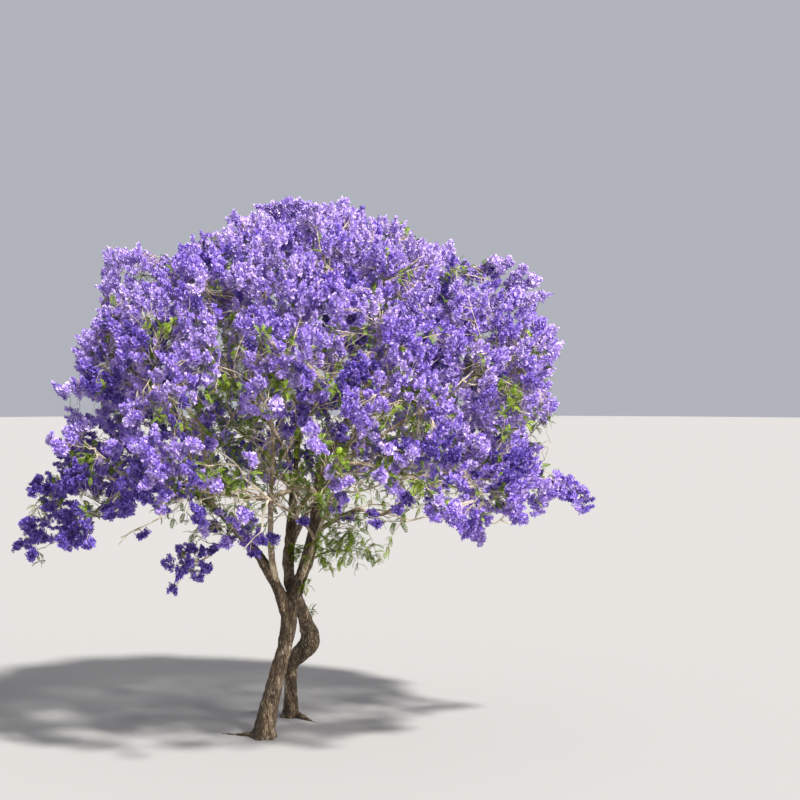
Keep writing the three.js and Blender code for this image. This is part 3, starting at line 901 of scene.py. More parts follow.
# Meshes from arrays

def mesh_object(name, vertices, faces, material):
    mesh = bpy.data.meshes.new(name)
    mesh.vertices.add(len(vertices))
    mesh.vertices.foreach_set("co", np.asarray(vertices, np.float32).ravel())
    mesh.loops.add(faces.size)
    mesh.loops.foreach_set("vertex_index", faces.astype(np.int32).ravel())
    mesh.polygons.add(len(faces))
    mesh.polygons.foreach_set("loop_start", np.arange(0, faces.size, 3, dtype=np.int32))
    mesh.update(calc_edges=True)
    mesh.materials.append(material)
    made = bpy.data.objects.new(name, mesh)
    scene.collection.objects.link(made)
    return made


def joined(parts):
    """One array of vertices and one of faces, from pairs of both."""
    vertices = []
    faces = []
    count = 0
    for part_vertices, part_faces in parts:
        vertices.append(part_vertices)
        faces.append(part_faces + count)
        count += len(part_vertices)
    return np.concatenate(vertices), np.concatenate(faces)


def copies(template, faces, count):
    """The faces of that many copies of a template."""
    offsets = np.arange(count) * template
    return (faces[None] + offsets[:, None, None]).reshape(-1, 3)


def ring_axes(along, reference):
    across = unit(np.cross(along, reference))
    return across, np.cross(along, across)


def tube_arrays(points, radii, sides):
    """Tubes with as many points each: points are tubes × stations × 3, radii tubes × stations × sides."""
    count, stations, _ = points.shape
    along = unit(np.gradient(points, axis=1))
    overall = points[:, -1] - points[:, 0]
    reference = np.eye(3)[np.argmin(np.abs(overall), axis=1)][:, None]
    across, side = ring_axes(along, reference)
    angles = 2 * np.pi * np.arange(sides) / sides
    ring = across[:, :, None] * np.cos(angles)[:, None] + side[:, :, None] * np.sin(angles)[:, None]
    vertices = points[:, :, None] + ring * radii[..., None]
    station, k = np.meshgrid(np.arange(stations - 1), np.arange(sides), indexing="ij")
    a = (station * sides + k).ravel()
    b = (station * sides + (k + 1) % sides).ravel()
    walls = np.concatenate([np.c_[a, b, b + sides], np.c_[a, b + sides, a + sides]])
    fan = np.arange(1, sides - 1)
    top = (stations - 1) * sides
    caps = np.concatenate([np.c_[0 * fan, fan + 1, fan], np.c_[0 * fan + top, fan + top, fan + 1 + top]])
    faces = np.concatenate([walls, caps])
    return vertices.reshape(-1, 3), copies(stations * sides, faces, count)


class Tubes:
    """Tapered tubes, gathered by how many stations and sides they have."""

    def __init__(self):
        self.batches = {}

    def add(self, points, radii, sides=3):
        self.batches.setdefault((len(points), sides), []).append((points, radii))

    def arrays(self):
        parts = []
        for (_, sides), tubes in self.batches.items():
            points, radii = (np.array(values) for values in zip(*tubes))
            parts.append(tube_arrays(points, np.repeat(radii[..., None], sides, axis=2), sides))
        return joined(parts)


def arc(start, leaving, end):
    """A curve that leaves its start one way and bends to its end."""
    turn = start + leaving * ARC_TURN * np.linalg.norm(end - start)
    return bezier(start, start + (turn - start) * ARC_LEAVING, end + (turn - end) * ARC_ARRIVING, end)


# How full the dome is: thin where the photograph shows through it

def seen_place(column, row, y):
    """The place that the photograph shows at a pixel, at the depth y."""
    away = (CAMERA_BACK + y) / FOCAL_PIXELS
    x = CAMERA_SIDE + (column - PHOTO_PIXELS / 2) * away
    return np.array([x, y, CAMERA_UP - (row - HORIZON_ROW) * away])


def seen_pixels(places):
    away = (CAMERA_BACK + places[:, 1]) / FOCAL_PIXELS
    column = PHOTO_PIXELS / 2 + (places[:, 0] - CAMERA_SIDE) / away
    return np.c_[column, HORIZON_ROW + (CAMERA_UP - places[:, 2]) / away]


def seen_direction(column, row):
    """The direction from the crown's centre to the front of the dome at a place in the photograph."""
    eye = np.array([CAMERA_SIDE, -CAMERA_BACK, CAMERA_UP])
    ray = np.array([(column - PHOTO_PIXELS / 2) / FOCAL_PIXELS, 1, (HORIZON_ROW - row) / FOCAL_PIXELS])
    start, step = unit_place(eye), ray / CROWN_REACH
    a, b, c = step @ step, start @ step, start @ start - 1
    nearest = (-b - math.sqrt(max(b * b - a * c, 0))) / a
    return unit(start + step * nearest)


THIN_BUMPS = [(seen_direction(x, y), -loss, spread) for x, y, spread, loss in THIN_PLACES]
THIN_BUMPS += bumps_from([THIN_LOBE])


def fullness(place):
    return max(bumps_at(unit(unit_place(place)), THIN_BUMPS, 1), LEAST_FULL)


def seen_in(discs, *places):
    """Whether a place is seen in one of the discs, or so near that its flowers reach into it."""
    columns_rows, reaches = np.split(np.array(discs), [2], axis=1)
    apart = np.linalg.norm(seen_pixels(np.array(places)) - columns_rows[:, None], axis=2)
    return bool((apart < reaches + FLOWER_PIXELS).any())


# Fine growth: twigs, panicles and leaves are noted first, and made all at once

Panicle = namedtuple("Panicle", "base axis length girth tone")
Leaf = namedtuple("Leaf", "place way length")

twigs = Tubes()
bare = Tubes()
panicles = []
under = []
leaves = []
sprouts = []


def side_vector(along):
    return unit(np.cross(along, rng.normal(size=3)))


def turned_aside(along, share):
    """A direction that leans from another to a side drawn at random."""
    return unit(along + side_vector(along) * share)


def crooked(kind, curve):
    """Points along a curve for a kind of twig, each inner one pushed a little aside."""
    stations, wobble, _, _ = TWIG_KINDS[kind]
    points = curve(np.linspace(0, 1, stations))
    points[1:-1] += rng.normal(0, wobble, (stations - 2, 3))
    return points


def add_twig(kind, points):
    stations, _, radii, sides = TWIG_KINDS[kind]
    twigs.add(points, np.linspace(*radii, stations), sides)
    return points


def grow_twig(kind, curve):
    return add_twig(kind, crooked(kind, curve))


def grow_fork(mass, overlap=0):
    """The stem that carries on from the bough's tip to the mass's fork."""
    bough_end = mass.bough.points[-1]
    start = bough_end - (mass.fork - bough_end) * overlap
    add_twig("fork", np.linspace(start, mass.fork, TWIG_KINDS["fork"][0]))


def grow_stalk(start, leaving, base, end):
    elbow = (start + base) / 2 + leaving * STALK_BEND * np.linalg.norm(base - start)
    twigs.add(np.array([start, elbow, end]), np.array(STALK_RADII))


def grow_panicle(start, leaving, base, axis, tone, size=1.0, kind=panicles):
    """A stalk that ends in the panicle's own axis, and the panicle."""
    length = PANICLE_LENGTH * size * rng.uniform(*LENGTH_SHARES)
    grow_stalk(start, leaving, base, base + axis * length * FLOWERING_SHARE)
    kind.append(Panicle(base, axis, length, PANICLE_GIRTH * size * rng.uniform(*GIRTH_SHARES), tone))


def grow_tuft(place, along, count, size=1.0, kind=leaves):
    """Leaves that spread round a twig's end."""
    across = side_vector(along)
    side = np.cross(along, across)
    for k in range(count):
        angle = math.radians(k * GOLDEN_ANGLE) + rng.uniform(*LEAF_TURN)
        out = across * math.cos(angle) + side * math.sin(angle)
        way = unit(out + along * rng.uniform(*LEAF_FORWARD) + np.array([0, 0, rng.uniform(*LEAF_LIFT)]))
        foot = place - along * TUFT_LENGTH * k / count
        kind.append(Leaf(foot, way, LEAF_LENGTH * size * rng.uniform(*LEAF_SIZES)))


def grow_spray(spray):
    """The spray's crooked twig, and leaves along it."""
    outward = unit(spray["tip"] - spray["root"])
    curve = arc(spray["root"], spray["leaving"], spray["tip"] - outward * PANICLE_LENGTH)
    full = fullness(spray["tip"])
    spray["outward"] = outward
    spray["stations"] = crooked("spray", curve)
    spray["tone"] = rng.normal(0, 1)
    is_bare = rng.random() < BARE_GAIN * (1 - full) - BARE_START
    cover = LEAST_COVER + (1 - LEAST_COVER) * full**3
    spray["cover"] = 0 if is_bare else cover * rng.uniform(*COVER_SHARES)
    if seen_in(OPENINGS, spray["tip"]):
        spray["cover"] = 0
        return
    add_twig("spray", spray["stations"])
    is_leafy = rng.random() < LEAFY_ODDS + LEAFY_GAIN * (1 - full)
    for i in (2, 3, 4, 5, 6) if is_leafy else (3,):
        grow_tuft(spray["stations"][i], turned_aside(outward, 0.7), 3)


for mass in masses:
    grow_fork(mass, FORK_OVERLAP)
    for in_fork, hub in mass.hubs:
        grow_twig("hub", arc(in_fork, mass.bough.tangent(BOUGH_STEPS), hub))
    for spray in mass.sprays:
        grow_spray(spray)


# Panicles spread evenly over the dome, each on the spray that is nearest, and more beneath them

crown_sprays = [spray for mass in masses for spray in mass.sprays]
spray_directions = unit(np.array([unit_place(spray["tip"]) for spray in crown_sprays]))
for spray, direction in zip(crown_sprays, spray_directions):
    spray["depth"] = np.linalg.norm(unit_place(spray["tip"])) / dome_share(direction, 1)


def seat_on(spray, base):
    """The place on the spray's twig where the stalk of a panicle leaves it."""
    below = (base - spray["stations"]) @ spray["outward"]
    cost = np.linalg.norm(spray["stations"] - base, axis=1) + RISE_COST * np.maximum(0, STALK_RISE - below)
    return spray["stations"][int(np.argmin(cost[1:])) + 1]


def crown_panicle(k, count, depth, kind):
    """What grows at one place of a golden spiral, at that depth under the dome: panicle, leaves or stalk."""
    azimuth = (k * GOLDEN_ANGLE + rng.normal(0, AZIMUTH_SCATTER)) % 360
    lowest = math.cos(math.radians(brim_at(azimuth) - 1))
    zenith = math.degrees(math.acos(1 - (k + 0.5) / count * (1 - lowest)))
    direction = heading(azimuth, zenith + rng.normal(0, ZENITH_SCATTER))
    cosines = spray_directions @ direction
    nearest = int(np.argmax(cosines))
    spray = crown_sprays[nearest]
    away = math.acos(min(1.0, cosines[nearest])) * CROWN_REACH[0]
    if away > spray["cover"]:
        return
    crease = math.exp(-((noise.noise(Vector(direction * BILLOW_SCALE)) / CREASE_WIDTH) ** 2))
    sag = HUMP_SAG * (1 - math.exp(-((away / HUMP_REACH) ** 2))) + CREASE_SAG * crease
    sag += rng.uniform(*SAG_SCATTER)
    top = on_dome(direction, spray["depth"] - sag / CROWN_REACH[0] - depth)
    aside = top - spray["tip"]
    aside = aside - spray["outward"] * (aside @ spray["outward"])
    axis = unit(direction) * AXIS_OUTWARD + aside * AXIS_ASIDE + np.array([0, 0, AXIS_UPWARD])
    axis = unit(axis + rng.normal(0, AXIS_SCATTER, 3))
    base = top - axis * PANICLE_LENGTH
    start = seat_on(spray, base)
    leaving = unit(spray["outward"] + aside)
    tone = spray["tone"] + rng.normal(0, TONE_SCATTER)
    is_sprout = k % (count // SPROUTS) == 0 and zenith > SPROUT_ZENITH
    is_leafy = rng.random() < CREASE_LEAVES * crease
    if seen_in(OPENINGS, top, base):
        return
    in_gap = top[1] < CROWN_CENTRE[1] and seen_in(GAPS, top, base)
    if in_gap and (kind is under or rng.random() > GAP_LEAVES):
        grow_stalk(start, leaving, base, top)
        return
    if kind is panicles and (is_sprout or is_leafy or in_gap):
        end = base + axis * SHOOT_LENGTH
        grow_stalk(start, leaving, base, end)
        grow_tuft(end, axis, 4, 0.75, sprouts if is_sprout else leaves)
        return
    grow_panicle(start, leaving, base, axis, tone, 1, kind)


for k in range(CROWN_PANICLES):
    crown_panicle(k, CROWN_PANICLES, 0, panicles)
for k in range(UNDER_PANICLES):
    crown_panicle(k, UNDER_PANICLES, UNDER_DEPTH, under)


# What stands apart in the photograph, each thing on the limb or spray that is seen to carry it

bough_places = [limb.curve(CARRIER_SHARES) for limb in limbs if limb.parent]
spray_places = [spray["stations"][1:] for spray in crown_sprays]


def carrier_seen_at(column, row, carriers):
    """The place on the carriers that is seen at a pixel or near it."""
    places = np.concatenate(carriers)
    apart = np.linalg.norm(seen_pixels(places) - [column, row], axis=1)
    return places[int(np.argmin((apart / STEP_ASIDE) ** 2 + places[:, 1]))]


def nearer_by(pixels):
    """How much a branch nears the camera over a step in the photograph."""
    return BARE_LEAN * pixels * CAMERA_BACK / FOCAL_PIXELS


def seen_twig(column, row):
    """A thin twig from the nearest carrier, which bends over to the place seen at a pixel."""
    start = carrier_seen_at(column, row, spray_places + bough_places)
    apart = np.linalg.norm(seen_pixels(start[None])[0] - [column, row])
    place = seen_place(column, row, start[1] - SEEN_NEARER - nearer_by(apart))
    reach = place - start
    leaving = unit(reach + [0, 0, SEEN_LIFT * np.linalg.norm(reach)])
    return grow_twig("seen", arc(start, leaving, place))


def bare_branch(route):
    """A branch, pale with painted sunlight, through the pixels of its route, from the carrier that is seen
    where it starts.
    """
    points = [carrier_seen_at(*route[0], bough_places)]
    depth = points[0][1]
    for before, after in zip(route, route[1:]):
        depth -= nearer_by(math.dist(before, after))
        points.append(seen_place(*after, depth))
    curve = route_curve(points)
    steps = 3 * len(points)
    bare.add(curve(np.linspace(0, 1, steps)), np.linspace(*BARE_RADII, steps), BARE_SIDES)
    bough_places.append(curve(np.linspace(CARRIER_SHARES[0], 1, 2 * steps)))


def tufts_along(points, stations, count, size):
    for i in stations:
        grow_tuft(points[i], unit(points[i] - points[i - 1]), count, size, sprouts)


for route in BARE_BRANCHES:
    bare_branch(route)

for column, row, count in SEEN_CLUSTERS:
    points = seen_twig(column, row)
    place = points[-1]
    for k in range(count):
        forward = unit(points[-1] - points[-3]) * CLUSTER_FORWARD
        axis = unit(forward + side_vector(place) + np.array([0, 0, CLUSTER_LIFT]))
        base = place - axis * SHOOT_LENGTH + rng.normal(0, CLUSTER_SCATTER, 3)
        tone = rng.normal(*CLUSTER_PAINTED_LIGHT_TONE)
        grow_panicle(points[4], unit(points[-1] - points[-2]), base, axis, tone, CLUSTER_SIZE)

for column, row in SEEN_SPROUTS:
    tufts_along(seen_twig(column, row), (3, 4, 5), 3, 0.85)

low_places = np.concatenate([limb.points[2:] for limb in limbs])
for column, row, y in LOW_SPROUTS:
    place = seen_place(column, row, y)
    start = low_places[int(np.argmin(np.linalg.norm(low_places - place, axis=1)))]
    tufts_along(grow_twig("low", arc(start, unit(place - start), place)), (3, 5), 4, 0.8)


# Flowers and leaves as arrays

def about_axes(axes):
    """Two directions across each axis."""
    reference = np.where(np.abs(axes[..., 2:]) > UPRIGHT, [1.0, 0, 0], [0, 0, 1.0])
    return ring_axes(axes, reference)


def rings(centres, axes, radii, offsets, roll):
    """A point for each petal round each axis, at a radius and a step along it."""
    across, side = about_axes(axes)
    angles = roll[:, None] + np.radians(360 // PETALS_EACH * np.arange(PETALS_EACH))
    out = across[:, None] * np.cos(angles)[..., None] + side[:, None] * np.sin(angles)[..., None]
    return (centres + axes * offsets[:, None])[:, None] + out * radii[:, None, None]


def flowers_round(chosen, kind):
    """Flowers round the panicles' axes: foot on the axis, mouth, the way it faces, length and roll."""
    count, whole, along, beside, lengths, variation = FLOWERS[kind]
    base, axis, reach, girth, _ = (np.array(values)[:, None] for values in zip(*chosen))
    k = np.arange(count)
    share = along[0] + (along[1] - along[0]) * (k + rng.uniform(0, 1, (len(chosen), count))) / count
    turn = np.radians(k * GOLDEN_ANGLE) + rng.uniform(0, 2 * np.pi, (len(chosen), 1))
    turn = turn + rng.normal(0, TURN_SCATTER, turn.shape)
    across, side = about_axes(axis)
    radial = across * np.cos(turn)[..., None] + side * np.sin(turn)[..., None]
    narrowed = girth * (1 - PANICLE_TAPER * np.maximum(share, 0) ** TAPER_POWER)
    out = narrowed * rng.uniform(*beside, share.shape)
    foot = base + axis * (reach * share * FLOWERING_SHARE)[..., None]
    forward = reach * FLOWER_FORWARD[0] * share + FLOWER_FORWARD[1] * out
    mouth = foot + radial * out[..., None] + axis * forward[..., None]
    lean = axis * (FLOWER_LEAN[0] + FLOWER_LEAN[1] * share)[..., None] + [0, 0, -FLOWER_HANG]
    lean = lean + rng.normal(0, FLOWER_SCATTER, radial.shape)
    way = unit(radial * FLOWER_RADIAL + lean)
    length = whole * (lengths[0] - lengths[1] * share.ravel()) * rng.uniform(*variation, share.size)
    roll = rng.uniform(0, 2 * np.pi, share.size)
    return foot.reshape(-1, 1, 3), mouth.reshape(-1, 3), way.reshape(-1, 3), length, roll


def petals(*corners):
    """Petals from their corners, each of them its own island: flowers × petals × corners × 3."""
    spread = [np.broadcast_to(c, corners[-1].shape) for c in corners]
    made = np.stack(spread, axis=2)
    fan = np.array([[0, k, k + 1] for k in range(1, len(corners) - 1)])
    return made.reshape(-1, 3), copies(len(corners), fan, len(made) * PETALS_EACH)


def wedges(chosen, kind):
    """Flowers whose petals are wedges from the panicle's axis to the mouth."""
    foot, mouth, way, length, roll = flowers_round(chosen, kind)
    reach = WEDGE_REACH * length
    first = rings(mouth, way, reach, rng.uniform(*WEDGE_DEPTHS, len(length)) * length, roll)
    second = rings(mouth, way, reach, 0 * length, roll + math.radians(WEDGE_WIDTHS[kind]))
    return petals(foot, first, second)


def kites(chosen, kind):
    """Flowers whose petals are kites, narrow at the panicle's axis and at the tip."""
    foot, mouth, way, length, roll = flowers_round(chosen, kind)
    corners = []
    for reach, step, turn in KITE_CORNERS:
        corners.append(rings(mouth, way, reach * length, step * length, roll + math.radians(turn)))
    return petals(foot, *corners)


def blossom_arrays(chosen, beneath):
    """Kites are outermost and wedges within, and the panicles beneath have wider wedges alone."""
    return joined([kites(chosen, "outer"), wedges(chosen, "inner"), wedges(beneath, "under")])


def droop(share):
    """How high a leaf's stem lies at a share of its length: it rises a little and then hangs."""
    return LEAF_RISE * np.sin(np.pi * share) - LEAF_HANG * share**2


def leaf_template():
    """A feathery leaf one unit long along +X, drooping towards -Z, with pairs of narrow blades."""
    vertices = []
    faces = []
    for share in np.linspace(*BLADE_SPAN, BLADE_PAIRS):
        for hand in (-1, 1):
            swell = math.sin(math.pi * (BLADE_STRETCH[0] + BLADE_STRETCH[1] * share))
            length = BLADE_GAIN * swell + BLADE_LEAST
            start = np.array([share, 0, droop(share)])
            way = unit([BLADE_WAY[0], hand * BLADE_WAY[1], BLADE_WAY[2]])
            wide = unit(np.cross(way, [0, 0, 1.0])) * BLADE_WIDTH
            middle = start + way * length * BLADE_WIDEST
            at = len(vertices)
            vertices += [start, middle + wide, start + way * length + [0, 0, -BLADE_SAG], middle - wide]
            faces += [(at, at + 1, at + 2), (at, at + 2, at + 3)]
    at = len(vertices)
    for share in (0, 0.5, 1):
        vertices += [[share, hand * LEAF_STEM, droop(share)] for hand in (-1, 1)]
    for a in (at, at + 2):
        faces += [(a, a + 2, a + 3), (a, a + 3, a + 1)]
    return np.array(vertices, float), np.array(faces)


def leaf_arrays(chosen):
    places, ways, sizes = (np.array(values) for values in zip(*chosen))
    up = unit(np.array([0, 0, 1.0]) - ways * ways[:, 2:] + rng.normal(0, LEAF_ROLL, ways.shape))
    y = unit(np.cross(up, ways))
    up = np.cross(ways, y)
    template, faces = leaf_template()
    a, b, c = template.T
    moved = ways[:, None] * a[:, None] + y[:, None] * b[:, None] + up[:, None] * c[:, None]
    vertices = places[:, None] + moved * sizes[:, None, None]
    return vertices.reshape(-1, 3), copies(len(template), faces, len(chosen))


# Twigs along the boughs, under the blossom

def grow_side_twigs(limb):
    length = limb.length()
    for share in np.arange(*SIDE_SHARES, SIDE_STEP / length):
        start = limb.curve([share])[0]
        if start[2] < SIDE_LOWEST:
            continue
        ahead = unit(limb.curve([min(share + SIDE_PROBE, 1)])[0] - limb.curve([share - SIDE_PROBE])[0])
        way = unit(side_vector(ahead) + ahead * SIDE_FORWARD + np.array([0, 0, SIDE_LIFT]))
        end = start + way * rng.uniform(*SIDE_LENGTHS)
        points = grow_twig("side", arc(start, unit(way + ahead), end))
        grow_tuft(end, way, 4)
        for i in (3, 4):
            branch_way = turned_aside(way, 0.9)
            branch_end = points[i] + branch_way * rng.uniform(*BRANCH_LENGTHS)
            grow_twig("side_branch", arc(points[i], way, branch_end))
            if rng.random() < BRANCH_LEAVES:
                grow_tuft(branch_end, branch_way, 3, 0.85)


for limb in limbs:
    if limb.parent:
        grow_side_twigs(limb)


# The small masses inside

def inner_spray(spray, name):
    """A twig with two panicles and a leaf, or with sprouts where the mass is one of leaves."""
    outward = unit(spray["tip"] - spray["root"])
    curve = arc(spray["root"], spray["leaving"], spray["tip"] - outward * INNER_TWIG_SHORT)
    points = grow_twig("inner_spray", curve)
    if name.startswith("leaves"):
        for i in (2, 3, 4):
            grow_tuft(points[i], turned_aside(outward, 0.5), 3, 0.9, sprouts)
        return
    for k in range(2):
        axis = turned_aside(outward, 0.6)
        tone = rng.normal(INNER_TONES_WITH_PAINTED_LIGHT[name], INNER_TONE_SCATTER)
        grow_panicle(points[3], outward, spray["tip"] - axis * INNER_PANICLE_SHORT, axis, tone, 0.9)
    grow_tuft(points[2], outward, 1)


for mass in inner_masses:
    grow_fork(mass)
    for in_fork, hub in mass.hubs:
        grow_twig("inner_hub", arc(in_fork, unit(hub - in_fork), hub))
    for spray in mass.sprays:
        inner_spray(spray, mass.name)


# Bark

def flare_share(height, angle, phase):
    low = np.exp(-height / FLARE_HEIGHT)
    return 1 + FLARE_SPREAD * low * (1 + FLARE_DEPTH * np.cos(FLARE_LOBES * angle + phase))


def limb_arrays(limb, steps, sides):
    shares = np.linspace(0, 1, steps)
    points = limb.curve(shares)
    radii = np.repeat(limb.radius_at(shares)[:, None], sides, axis=1)
    if limb.name in FLARE_PHASE:
        angles = 2 * np.pi * np.arange(sides) / sides
        radii = radii * flare_share(points[:, 2:], angles, FLARE_PHASE[limb.name])
        points = np.vstack([points[0] - [0, 0, BELOW_CUT], points])
        radii = np.vstack([radii[0], radii])
    return tube_arrays(points[None], radii[None], sides)


def root_arrays(route, radii):
    shares = np.linspace(0, 1, ROOT_STATIONS)
    thickness = np.repeat(even(radii)(shares)[:, None], ROOT_SIDES, axis=1)
    return tube_arrays(route_curve(route)(shares)[None], thickness[None], ROOT_SIDES)


def cut_at_ground(obj):
    """Takes off what lies below the ground and closes the cut."""
    cut = bmesh.new()
    cut.from_mesh(obj.data)
    everything = cut.verts[:] + cut.edges[:] + cut.faces[:]
    plane = {"plane_co": (0, 0, 0), "plane_no": (0, 0, 1)}
    made = bmesh.ops.bisect_plane(cut, geom=everything, clear_inner=True, **plane)
    rim = [part for part in made["geom_cut"] if isinstance(part, bmesh.types.BMEdge)]
    bmesh.ops.holes_fill(cut, edges=rim)
    cut.to_mesh(obj.data)
    cut.free()


def fused(name, arrays, voxel, smoothing, material):
    """One skin over several closed tubes, smoothed where they meet."""
    made = mesh_object(name, *joined(arrays), material)
    remesh = made.modifiers.new("remesh", "REMESH")
    remesh.mode = "VOXEL"
    remesh.voxel_size = voxel
    smooth = made.modifiers.new("smooth", "SMOOTH")
    smooth.factor = 0.5
    smooth.iterations = smoothing
    graph = bpy.context.evaluated_depsgraph_get()
    mesh = bpy.data.meshes.new_from_object(made.evaluated_get(graph))
    made.modifiers.clear()
    made.data = mesh
    return made


def read_vectors(vertices, key):
    values = np.empty(len(vertices) * 3)
    vertices.foreach_get(key, values)
    return values.reshape(-1, 3)


def bark_relief(obj, depth):
    """Long fissures and swellings, pressed into the skin along its normals."""
    vertices = obj.data.vertices
    places = read_vectors(vertices, "co")
    push = np.empty(len(vertices))
    for i, p in enumerate(places):
        near, next_near = noise.voronoi(Vector(p * FISSURE_SCALE))[0][:2]
        fissure = math.exp(-(((next_near - near) / FISSURE_WIDTH) ** 2))
        swelling = sum(height * noise.noise(Vector(p * scale)) for scale, height in SWELLINGS)
        push[i] = depth * (swelling - fissure + GRAIN_HEIGHT * noise.noise(Vector(p * GRAIN_SCALE)))
    places = places + read_vectors(vertices, "normal") * push[:, None]
    vertices.foreach_set("co", places.ravel())
    obj.data.update()


# Materials

def feed(tree, socket, value):
    """Links another node's output to a socket, or sets it to a plain value."""
    if isinstance(value, bpy.types.NodeSocket):
        tree.links.new(value, socket)
    else:
        socket.default_value = value


def new_material(name, roughness):
    material = bpy.data.materials.new(name)
    material.use_nodes = True
    shader = material.node_tree.nodes["Principled BSDF"]
    shader.inputs["Roughness"].default_value = roughness
    return material, material.node_tree, shader


def add_node(tree, kind, **inputs):
    node = tree.nodes.new(kind)
    for key, value in inputs.items():
        feed(tree, node.inputs[key], value)
    return node


def noise_share(tree, **inputs):
    return add_node(tree, "ShaderNodeTexNoise", **inputs).outputs["Fac"]


def ramp_between(tree, source, stops):
    ramp = add_node(tree, "ShaderNodeValToRGB", Fac=source)
    elements = ramp.color_ramp.elements
    while len(elements) < len(stops):
        elements.new(0.5)
    for element, (position, colour) in zip(elements, stops):
        element.position = position
        element.color = (*colour, 1)
    return ramp.outputs["Color"]


def combined(tree, how, *values):
    node = add_node(tree, "ShaderNodeMath")
    node.operation = how
    for socket, value in zip(node.inputs, values):
        feed(tree, socket, value)
    return node.outputs["Value"]


def mixed(tree, how, share, a, b):
    mix = add_node(tree, "ShaderNodeMix")
    mix.data_type = "RGBA"
    mix.blend_type = how
    for key, value in [("Factor", share), ("A", a), ("B", b)]:
        feed(tree, mix.inputs[key], value)
    return mix.outputs["Result"]


def growth_material(name, dark, light):
    """Each petal or leaf blade takes its own shade between two."""
    material, tree, shader = new_material(name, 0.55)
    shader.inputs["Specular IOR Level"].default_value = 0.2
    island = add_node(tree, "ShaderNodeNewGeometry").outputs["Random Per Island"]
    feed(tree, shader.inputs["Base Color"], ramp_between(tree, island, [(0, dark), (1, light)]))
    return material


def twig_material(name, stops):
    material, tree, shader = new_material(name, 0.8)
    coordinates = add_node(tree, "ShaderNodeTexCoord").outputs["Object"]
    patches = noise_share(tree, Vector=coordinates, Scale=7, Detail=4)
    feed(tree, shader.inputs["Base Color"], ramp_between(tree, patches, stops))
    return material


def bark_material(name, tones, furrow_tone):
    """Tones from the darkest to the lightest, in patches, with furrows along the stem and pale flecks in
    clusters, partly the bark's own and partly painted dapples of sunlight.
    """
    material, tree, shader = new_material(name, 0.9)
    plain = add_node(tree, "ShaderNodeTexCoord").outputs["Object"]
    along = add_node(tree, "ShaderNodeMapping", Vector=plain, Scale=(1, 1, 0.3)).outputs["Vector"]
    plates = add_node(tree, "ShaderNodeTexVoronoi", Vector=along, Scale=24)
    plates.feature = "DISTANCE_TO_EDGE"
    grain = noise_share(tree, Vector=along, Scale=45, Detail=6)
    patches = noise_share(tree, Vector=along, Scale=6, Detail=6, Roughness=0.65)
    flecks = noise_share(tree, Vector=along, Scale=34, Detail=4, Roughness=0.7)
    fleck_and_dapple_patches = noise_share(tree, Vector=plain, Scale=3.5, Detail=3)
    tone = ramp_between(tree, patches, list(zip(BARK_STOPS, tones)))
    furrow = ramp_between(tree, plates.outputs["Distance"], [(0, furrow_tone), (0.14, (1, 1, 1))])
    shade = ramp_between(tree, grain, [(0.3, (0.6, 0.58, 0.56)), (0.7, (1.2, 1.17, 1.14))])
    # Pale flecks gathered in clusters: partly the bark's own, partly painted dapples of sunlight
    fleck = ramp_between(tree, flecks, [(0.52, (0, 0, 0)), (0.66, (1, 1, 1))])
    fleck_and_dapple_mask = ramp_between(tree, fleck_and_dapple_patches, [(0.46, (0.12,) * 3), (0.62, (1, 1, 1))])
    shaded = mixed(tree, "MULTIPLY", 1, mixed(tree, "MULTIPLY", 1, tone, furrow), shade)
    pale = combined(tree, "MULTIPLY", fleck, fleck_and_dapple_mask)
    feed(tree, shader.inputs["Base Color"], mixed(tree, "MIX", pale, shaded, (*tones[-1], 1)))
    height = combined(tree, "ADD", plates.outputs["Distance"], grain)
    bump = add_node(tree, "ShaderNodeBump", Strength=0.9, Distance=0.03, Height=height)
    feed(tree, shader.inputs["Normal"], bump.outputs["Normal"])
    return material


# The pieces

blossom_nodes = [n for n in frame["nodes"] if n.startswith("blossom_")]
leaf_nodes = [n for n in frame["nodes"] if n.startswith("leaves_")]


def shade_score(panicle):
    """Painted light and shade by place: low for the sunlit top of the dome, high for what hangs low or lies
    deep, plus the panicle's own tone by chance.
    """
    place = unit_place(panicle.base)
    low_right = PAINTED_LIGHT_LOW_RIGHT * max(0, place[0]) * max(0, 0.5 - place[2])
    painted_far_left_light_and_shade = PAINTED_LIGHT_AND_SHADE_FAR_LEFT * max(0, -place[0] - 0.4) * min(0.1, max(-1.2, 6 * (place[2] - 0.2)))
    painted_tip_shade = PAINTED_SHADE_RIGHT_TIP * max(0, place[0] - 0.88) * max(0, min(0.3, 0.3 - place[2]))
    inside = PAINTED_SHADE_INSIDE * (0.9 - np.linalg.norm(place))
    painted_light_and_shade = -PAINTED_LIGHT_HIGH_UP * place[2] - low_right - painted_far_left_light_and_shade + min(MOST_PAINTED_SHADE_AT_TIP, painted_tip_shade) + inside
    return painted_light_and_shade + DEEP_CHANCE * panicle.tone


def finish_piece(piece, nodes):
    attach(piece, "root")
    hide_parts(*nodes)


def shades_of(kind):
    """The panicles from the palest to the deepest, in as many parts as there are shades."""
    ordered = sorted(kind, key=shade_score)
    ends = np.rint(np.cumsum([share for *_, share in PETALS]) * len(ordered)).astype(int)
    return [ordered[first:last] for first, last in zip([0, *ends[:-1]], ends)]


# Each shade is a piece of its own, so the pieces' colours carry the painted light and shade of shade_score
for (name, dark, light, _), chosen, beneath in zip(PETALS, shades_of(panicles), shades_of(under)):
    petal_material = growth_material(f"petals_{name}", dark, light)
    piece = mesh_object(f"blossom_{name}", *blossom_arrays(chosen, beneath), petal_material)
    finish_piece(piece, blossom_nodes)

